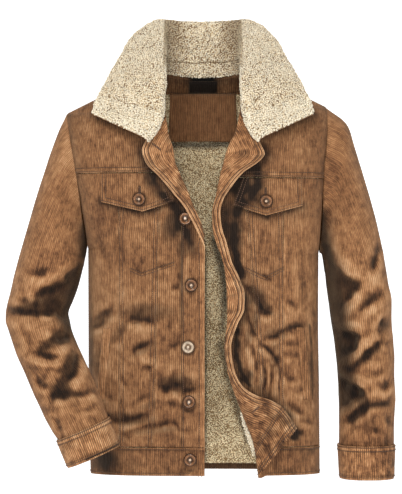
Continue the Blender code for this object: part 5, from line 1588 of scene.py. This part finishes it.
sleeveCloth = {"ringPower": 2.2, "around": 120, "perRing": 11, "seams": (66, 114), "front": 84,
               "inner": {"right": (0.55, 0.95, -0.4), "left": (0.15, 0.68, -0.52)},
               "tuck": ((0.955, 0.0015), (0.935, 0.007)), "cuffShare": 1.3,
               "cuffSeams": (("bottom", 0.0025), ("bottom", 0.0085), ("top", 0.0045))}


sleeveShades = {  # reach, strength and path of the painted shadows on the sleeves' fronts
    "right": ((0.008, 0.95, -1985, -2350, -2010, -2850), (0.0045, 0.8, -2700, -3490, -2300, -3380),
        (0.005, 0.8, -2400, -4220, -2130, -4190), (0.005, 0.75, -2380, -5120, -2000, -5090)),
    "left": ((0.012, 1.0, 1985, -2150, 2060, -2700, 2130, -3100),
        (0.006, 0.95, 3080, -5320, 2894, -5324, 2643, -5380, 2447, -5548),
        (0.007, 0.9, 2900, -4400, 2600, -4600, 2440, -4780)),
}


def ringOf(side, row, turn):
    outer = np.array((row["outerX"], row["y"], row["outerZ"]))
    inner = np.array((row["innerX"], row["y"], row["innerZ"]))
    centre, reach = (outer + inner) / 2, (outer - inner) / 2
    power = 2 / sleeveCloth["ringPower"]
    across = np.sign(np.cos(turn)) * np.abs(np.cos(turn)) ** power
    deep = np.sign(np.sin(turn)) * np.abs(np.sin(turn)) ** power
    ring = centre + reach * across[:, None] - np.array((0, row["deep"], 0)) * deep[:, None]
    ring[:, 0] *= sides[side]
    return ring


def armholeRing(side, turn):
    z = mix(body["armpitZ"][side], shoulderTop(side), (1 + np.cos(turn)) / 2)
    reach = np.where(np.sin(turn) >= 0, body["armholeDepth"]["front"], body["armholeDepth"]["back"])
    x = halfWidth(side, z) + cloth + body["seamGap"] + 1.5 * cloth * (1 - ramp(-0.8, 0.2, np.cos(turn)))
    return np.stack((sides[side] * x, -np.sin(turn) * reach, z), axis=-1)


def rowsOf(columns):
    return [dict(zip(columns, values)) for values in zip(*columns.values())]


def refine(rings, perRing):  # a smooth run through a list of rings
    rings = np.array(rings)
    slope = np.gradient(rings, axis=0)
    out = []
    for k in range(len(rings) - 1):
        for t in evenly(0, 1, perRing)[:-1]:
            out.append((1 + 2 * t) * (1 - t) ** 2 * rings[k] + t * (1 - t) ** 2 * slope[k]
                       + t * t * (3 - 2 * t) * rings[k + 1] + t * t * (t - 1) * slope[k + 1])
    out.append(rings[-1])
    return np.array(out)


def turnsEvenly(side, row, count):  # angles that space a ring's points evenly round it
    fine = evenly(0, 2 * pi, 720)
    ring = ringOf(side, row, fine)
    run = runOf(ring, 0)
    return np.interp(evenly(0, run[-1], count)[:-1], run, fine), run[-1]


def fromMiddle(grid):  # the middle of each ring, and the way out from it
    middle = grid.mean(axis=1, keepdims=True)
    outward = grid - middle
    return middle, outward / np.linalg.norm(outward, axis=2, keepdims=True)


def buildSleeve(side):
    count = sleeveCloth["around"]
    rows = rowsOf(sleeveTables[side])
    turn, girth = turnsEvenly(side, rows[6], count)
    rings = [armholeRing(side, turn)] + [ringOf(side, row, turn) for row in rows]
    grid = np.roll(refine(rings, sleeveCloth["perRing"]), -sleeveCloth["seams"][0], axis=1)
    ends = [ring.mean(axis=0, keepdims=True) for ring in (grid[-4], grid[-1])]
    down = (ends[1] - ends[0]) / np.linalg.norm(ends[1] - ends[0])
    tucked = [ends[1] + (grid[-1] - ends[1]) * size + down * reach for size, reach in sleeveCloth["tuck"]]
    grid = np.concatenate((grid, tucked))  # the end goes into the cuff
    centre, outward = fromMiddle(grid)
    x, y, z = grid[..., 0], grid[..., 1], grid[..., 2]
    height = np.zeros(x.shape)
    for face in (-1, 1):
        here = (y < centre[..., 1]) if face < 0 else (y >= centre[..., 1])
        facing = np.abs(outward[..., 1])
        fine = creaseHeight(sleeveCreases[side][face], x, z, 300)
        height += here * ramp(0, 0.5, facing) * 0.45 * plainFolds(sleeveFolds[side][face], x, z)
        height += here * ramp(0, 0.45, facing) * 1.25 * fine
    around = runOf(grid, 1)
    across = around - around[:, sleeveCloth["front"]][:, None]
    along = alongRows(grid)
    height += 0.0008 * cloudy(across, along, 0.045, 101) + 0.0004 * cloudy(across, along, 0.018, 103)
    headShare = 1 - ramp(0, 0.02, along)
    height += 0.0007 * headShare * cloudy(across, along * 0 + 1, 0.009, 105)
    footShare = ramp(along.max() - 0.037, along.max() - 0.01, along)
    height += 0.0011 * footShare * cloudy(across, along * 0 + 2, 0.01, 107)
    height *= ramp(0.0, 0.006, along) * 0.85 + 0.15
    height[-2:] = np.minimum(height[-2:], 0) * 0.5
    grid = grid + outward * height[..., None]
    out = (sides[side] * 0.3, -1, 0.3)
    # lighter at the head and darker where it goes into the cuff: wear, painted highlight and painted shade
    wear = 0.35 * headShare - 0.2 * footShare
    # painted shade on the sleeve's inner side towards the body, high up, and painted shadows along the dark
    # runs
    inward = -sides[side] * outward[..., 0]
    low, high, foot = sleeveCloth["inner"][side]
    shade = ramp(low, high, inward) * ramp(-0.17, -0.26, z) * ramp(foot - 0.06, foot, z)
    shade = darkRuns(shade, sleeveShades[side], x, z, where=(y < centre[..., 1]))
    shade = np.maximum(shade, deep(height, 0.88))
    piece = sew(f"sleeve_cloth_{side}", grid, cloth, out, cord, across, along,
                hollow=hollows(height, 4, True), wear=wear, shade=shade, ring=True)
    finishPiece(piece, "corduroy", f"sleeve_top_{side}", f"sleeve_under_{side}")
    cuffRows = rowsOf(cuffTables[side])
    cuffTurn, cuffGirth = turnsEvenly(side, cuffRows[0], count)
    steps = evenly(0, 1, 32)
    cuff = []
    for t in steps:
        row = {name: mix(cuffRows[0][name], cuffRows[1][name], t) for name in cuffRows[0]}
        cuff.append(ringOf(side, row, cuffTurn))
    cuff = np.array(cuff)
    cuffAlong = alongRows(cuff)
    cuffAcross = np.broadcast_to(np.arange(count) / count * cuffGirth, cuff.shape[:2])
    middle, outward = fromMiddle(cuff)
    rim = 1 - ramp(0, 0.005, np.minimum(cuffAlong, cuffAlong.max() - cuffAlong))
    bumps = (0.0005 * cloudy(cuffAcross, cuffAlong, 0.016, 111)
             + 0.0005 * cloudy(cuffAcross, cuffAlong * 0, 0.008, 113) * rim)
    cuff = cuff + outward * (bumps + 0.0006 - 0.0006 * rim)[..., None]
    # lighter rims and a lighter ridge beside the seam: wear and painted highlight
    wear = 0.7 * rim + 0.5 * fade(cuffAlong - 0.005, 0.0016, 2) - 0.02
    shade = 0.45 * ramp(0.1, 0.8, cloudy(cuff[..., 0], cuff[..., 2], 0.011, 221)) - 0.12
    for place in (0.0022, 0.0088, cuffAlong.max() - 0.0075):
        shade = np.maximum(shade, 0.6 * fade(cuffAlong - place, 0.0011, 2))
    # a painted shadow where the cuff's opening would show
    if side == "right":
        fromOpeningShadow = lineDistance(cuff[..., 0], cuff[..., 2], ((-0.1871, -0.6101), (-0.1394, -0.5896)))
        shade = np.maximum(shade, 1.08 * fade(fromOpeningShadow, 0.0021, 3) * (cuff[..., 1] < middle[..., 1]))
    cuffWall = cloth * sleeveCloth["cuffShare"]
    piece = sew(f"cuff_cloth_{side}", cuff, cuffWall, out, boldCord, cuffAcross, cuffAlong,
                hollow=hollows(bumps, 3, True), wear=wear, shade=shade, ring=True)
    finishPiece(piece, "corduroy", f"cuff_{side}")
    closed = np.concatenate((cuff, cuff[:, :1]), axis=1)
    paths = [stitchLine(closed, out, cuffWall, *seam) for seam in sleeveCloth["cuffSeams"]]
    closed = np.concatenate((grid, grid[:, :1]), axis=1)
    paths.append(stitchLine(closed, out, cloth, "bottom", 0.006))
    skin = shift(grid, cloth + stitching["proud"], out, ring=True)
    paths += [skin[:, column - sleeveCloth["seams"][0]] for column in sleeveCloth["seams"]]
    sewStitches(f"sleeve_stitches_{side}", paths)


for side in sides:
    buildSleeve(side)
print("sleeves sewn")

# collar
collar = {
    "across": table("t neckX neckY neckZ rollX rollY rollZ edgeX edgeY edgeZ",
        (0, 0, 830, 244, 0, 870, 720, 0, 980, 1240), (1400, 350, 760, 260, 360, 820, 760, 370, 950, 1250),
        (2600, 620, 565, 282, 680, 710, 1060, 730, 850, 1260),
        (3800, 750, 310, 300, 700, 410, 920, 1000, 720, 1130),
        (5000, 790, -30, 325, 700, -20, 680, 1260, 440, 840),
        (6200, 750, -420, 180, 695, -420, 420, 1410, 160, 520),
        (7400, 700, -700, -60, 695, -780, 140, 1570, -120, 200),
        (8600, 695, -940, -450, 725, -1050, -350, 1710, -480, -120),
        (9500, 790, -1070, -770, 810, -1180, -700, 1800, -660, -360),
        (10000, 920, -1180, -965, 965, -1270, -920, 1830, -760, -500)),  # t in ten thousandths
    "spread": 0.5, "pile": 0.0055, "lump": 0.0011, "lengthSteps": 210, "leafSteps": 44,
}


def collarGrid(stations, across):
    columns = collar["across"]
    t = np.abs(stations)
    at = {name: follow(columns["t"], columns[name], t) for name in columns if name != "t"}
    neckLine, roll, edge = (np.stack([at[part + axis] for axis in "XYZ"], axis=-1)
                            for part in ("neck", "roll", "edge"))
    length = lambda v: np.linalg.norm(v, axis=-1, keepdims=True)
    over = (edge - neckLine) * collar["spread"]
    over = over * np.minimum(length(roll - neckLine), length(edge - roll)) / length(over)
    leave = over * length(edge - roll) / length(over)
    grid = np.zeros((len(stations), len(across), 3))
    for k, a in enumerate(across):
        share = np.full(len(stations), a if a <= 1 else a - 1)
        if a <= 1:
            grid[:, k] = hermite(neckLine, roll - neckLine, roll, over, share)
        else:
            grid[:, k] = hermite(roll, leave, edge, edge - roll, share)
    grid[..., 0] *= np.sign(stations + 1e-12)[:, None]
    return grid


def buildCollar():
    inside = (0.5, -1, 0)
    grid = collarGrid(evenly(-1, 1, collar["lengthSteps"]), evenly(0, 2, collar["leafSteps"]))
    across = np.cumsum(np.full(grid.shape[:2], 0.0031), axis=0)
    # lighter outer edge: wear and painted highlight
    under = sew("collar_under_cloth", grid, cloth, (-0.5, 1, 0), cord, across,
                wear=0.4 * nearEdges(grid, "last", 0.006))
    finishPiece(under, "corduroy", "collar_under")
    base = shift(grid, 2 * body["seamGap"], inside)
    run = alongRows(grid)
    leaf = runOf(grid, 1)
    bumps = collar["lump"] * (cloudy(run, leaf, 0.0065, 121) + 0.7 * cloudy(run, leaf, 0.018, 123)
                              + 0.5 * cloudy(run, leaf, 0.05, 125))
    rim = nearEdges(grid, "first last top bottom", 0.006)
    wall = collar["pile"] + bumps - 0.0022 * rim**2
    face = shift(base, wall, inside)
    piece = closedShell("collar_fleece", face, base, inside, collarFleece, -bumps / 0.0018)
    finishPiece(piece, "sherpa", "collar_sherpa")
    strewTufts("collar_tufts", shift(face, -0.0002, inside), inside, 0.0029, 0.0036, 7)
    edges = shift(face, 0.0004, inside)
    ends = int(collar["lengthSteps"] * 0.055)
    strewTufts("collar_end_tufts_right", edges[:ends], inside, 0.0034, 0.0044, 8)
    strewTufts("collar_end_tufts_left", edges[-ends:], inside, 0.0034, 0.0044, 9)


buildCollar()
print("collar on")

# camera, floor and light
studio = {
    "eye": (-0.0034, -3.0, -0.27), "lens": 128.6, "floorZ": -0.8, "wallY": 2.6,
    "keyLight": ((-0.7, -2.1, 2.0), 1.1, 62), "frontLight": ((0.06, -3.5, -0.1), 0.55, 57),
    "sideLight": ((2.4, -1.2, 0.4), 1.6, 8), "world": 0.3,
}
camera = newObject("camera", bpy.data.cameras.new("camera"))
camera.data.lens = studio["lens"]
camera.data.sensor_width = 36
camera.location = studio["eye"]
camera.rotation_euler = (pi / 2, 0, 0)
scene.camera = camera

floorMaterial, s, surface = newMaterial("floor_paper")
grainy = s.node("TexCoord", out=3).noise(3.0, 2.0)
fill(surface, {"Base Color": grainy.tint((0.93, 0.93, 0.93, 1), (0.96, 0.96, 0.955, 1)), "Roughness": 0.9,
               "Emission Color": (1, 1, 1, 1), "Emission Strength": 0.55})
bend = [(studio["wallY"] + 1.2 * math.sin(a), 1.2 * (1 - math.cos(a))) for a in evenly(0, pi / 2, 16)]
bend = [(-6.0, 0.0)] + bend + [(studio["wallY"] + 1.2, 6.0)]
verts = [(x, y, studio["floorZ"] + z) for y, z in bend for x in (-8.0, 8.0)]
faces = [(2 * k, 2 * k + 1, 2 * k + 3, 2 * k + 2) for k in range(len(bend) - 1)]
mesh = bpy.data.meshes.new("floor")
mesh.from_pydata(verts, [], faces)
floor = newPiece("floor", mesh, floorMaterial)

for label in ("keyLight", "frontLight", "sideLight"):
    place, size, power = studio[label]
    lamp = bpy.data.lights.new(label, "AREA")
    lamp.size = size
    lamp.energy = power
    light = newObject(label, lamp)
    light.location = place
    light.rotation_mode = "QUATERNION"
    light.rotation_quaternion = (Vector((0, 0, -0.27)) - Vector(place)).to_track_quat("-Z", "Y")
world = bpy.data.worlds.new("studio")
world.use_nodes = True
background = world.node_tree.nodes["Background"].inputs
background[0].default_value = (1, 1, 1, 1)
background[1].default_value = studio["world"]
scene.world = world
scene.view_settings.view_transform = "Standard"
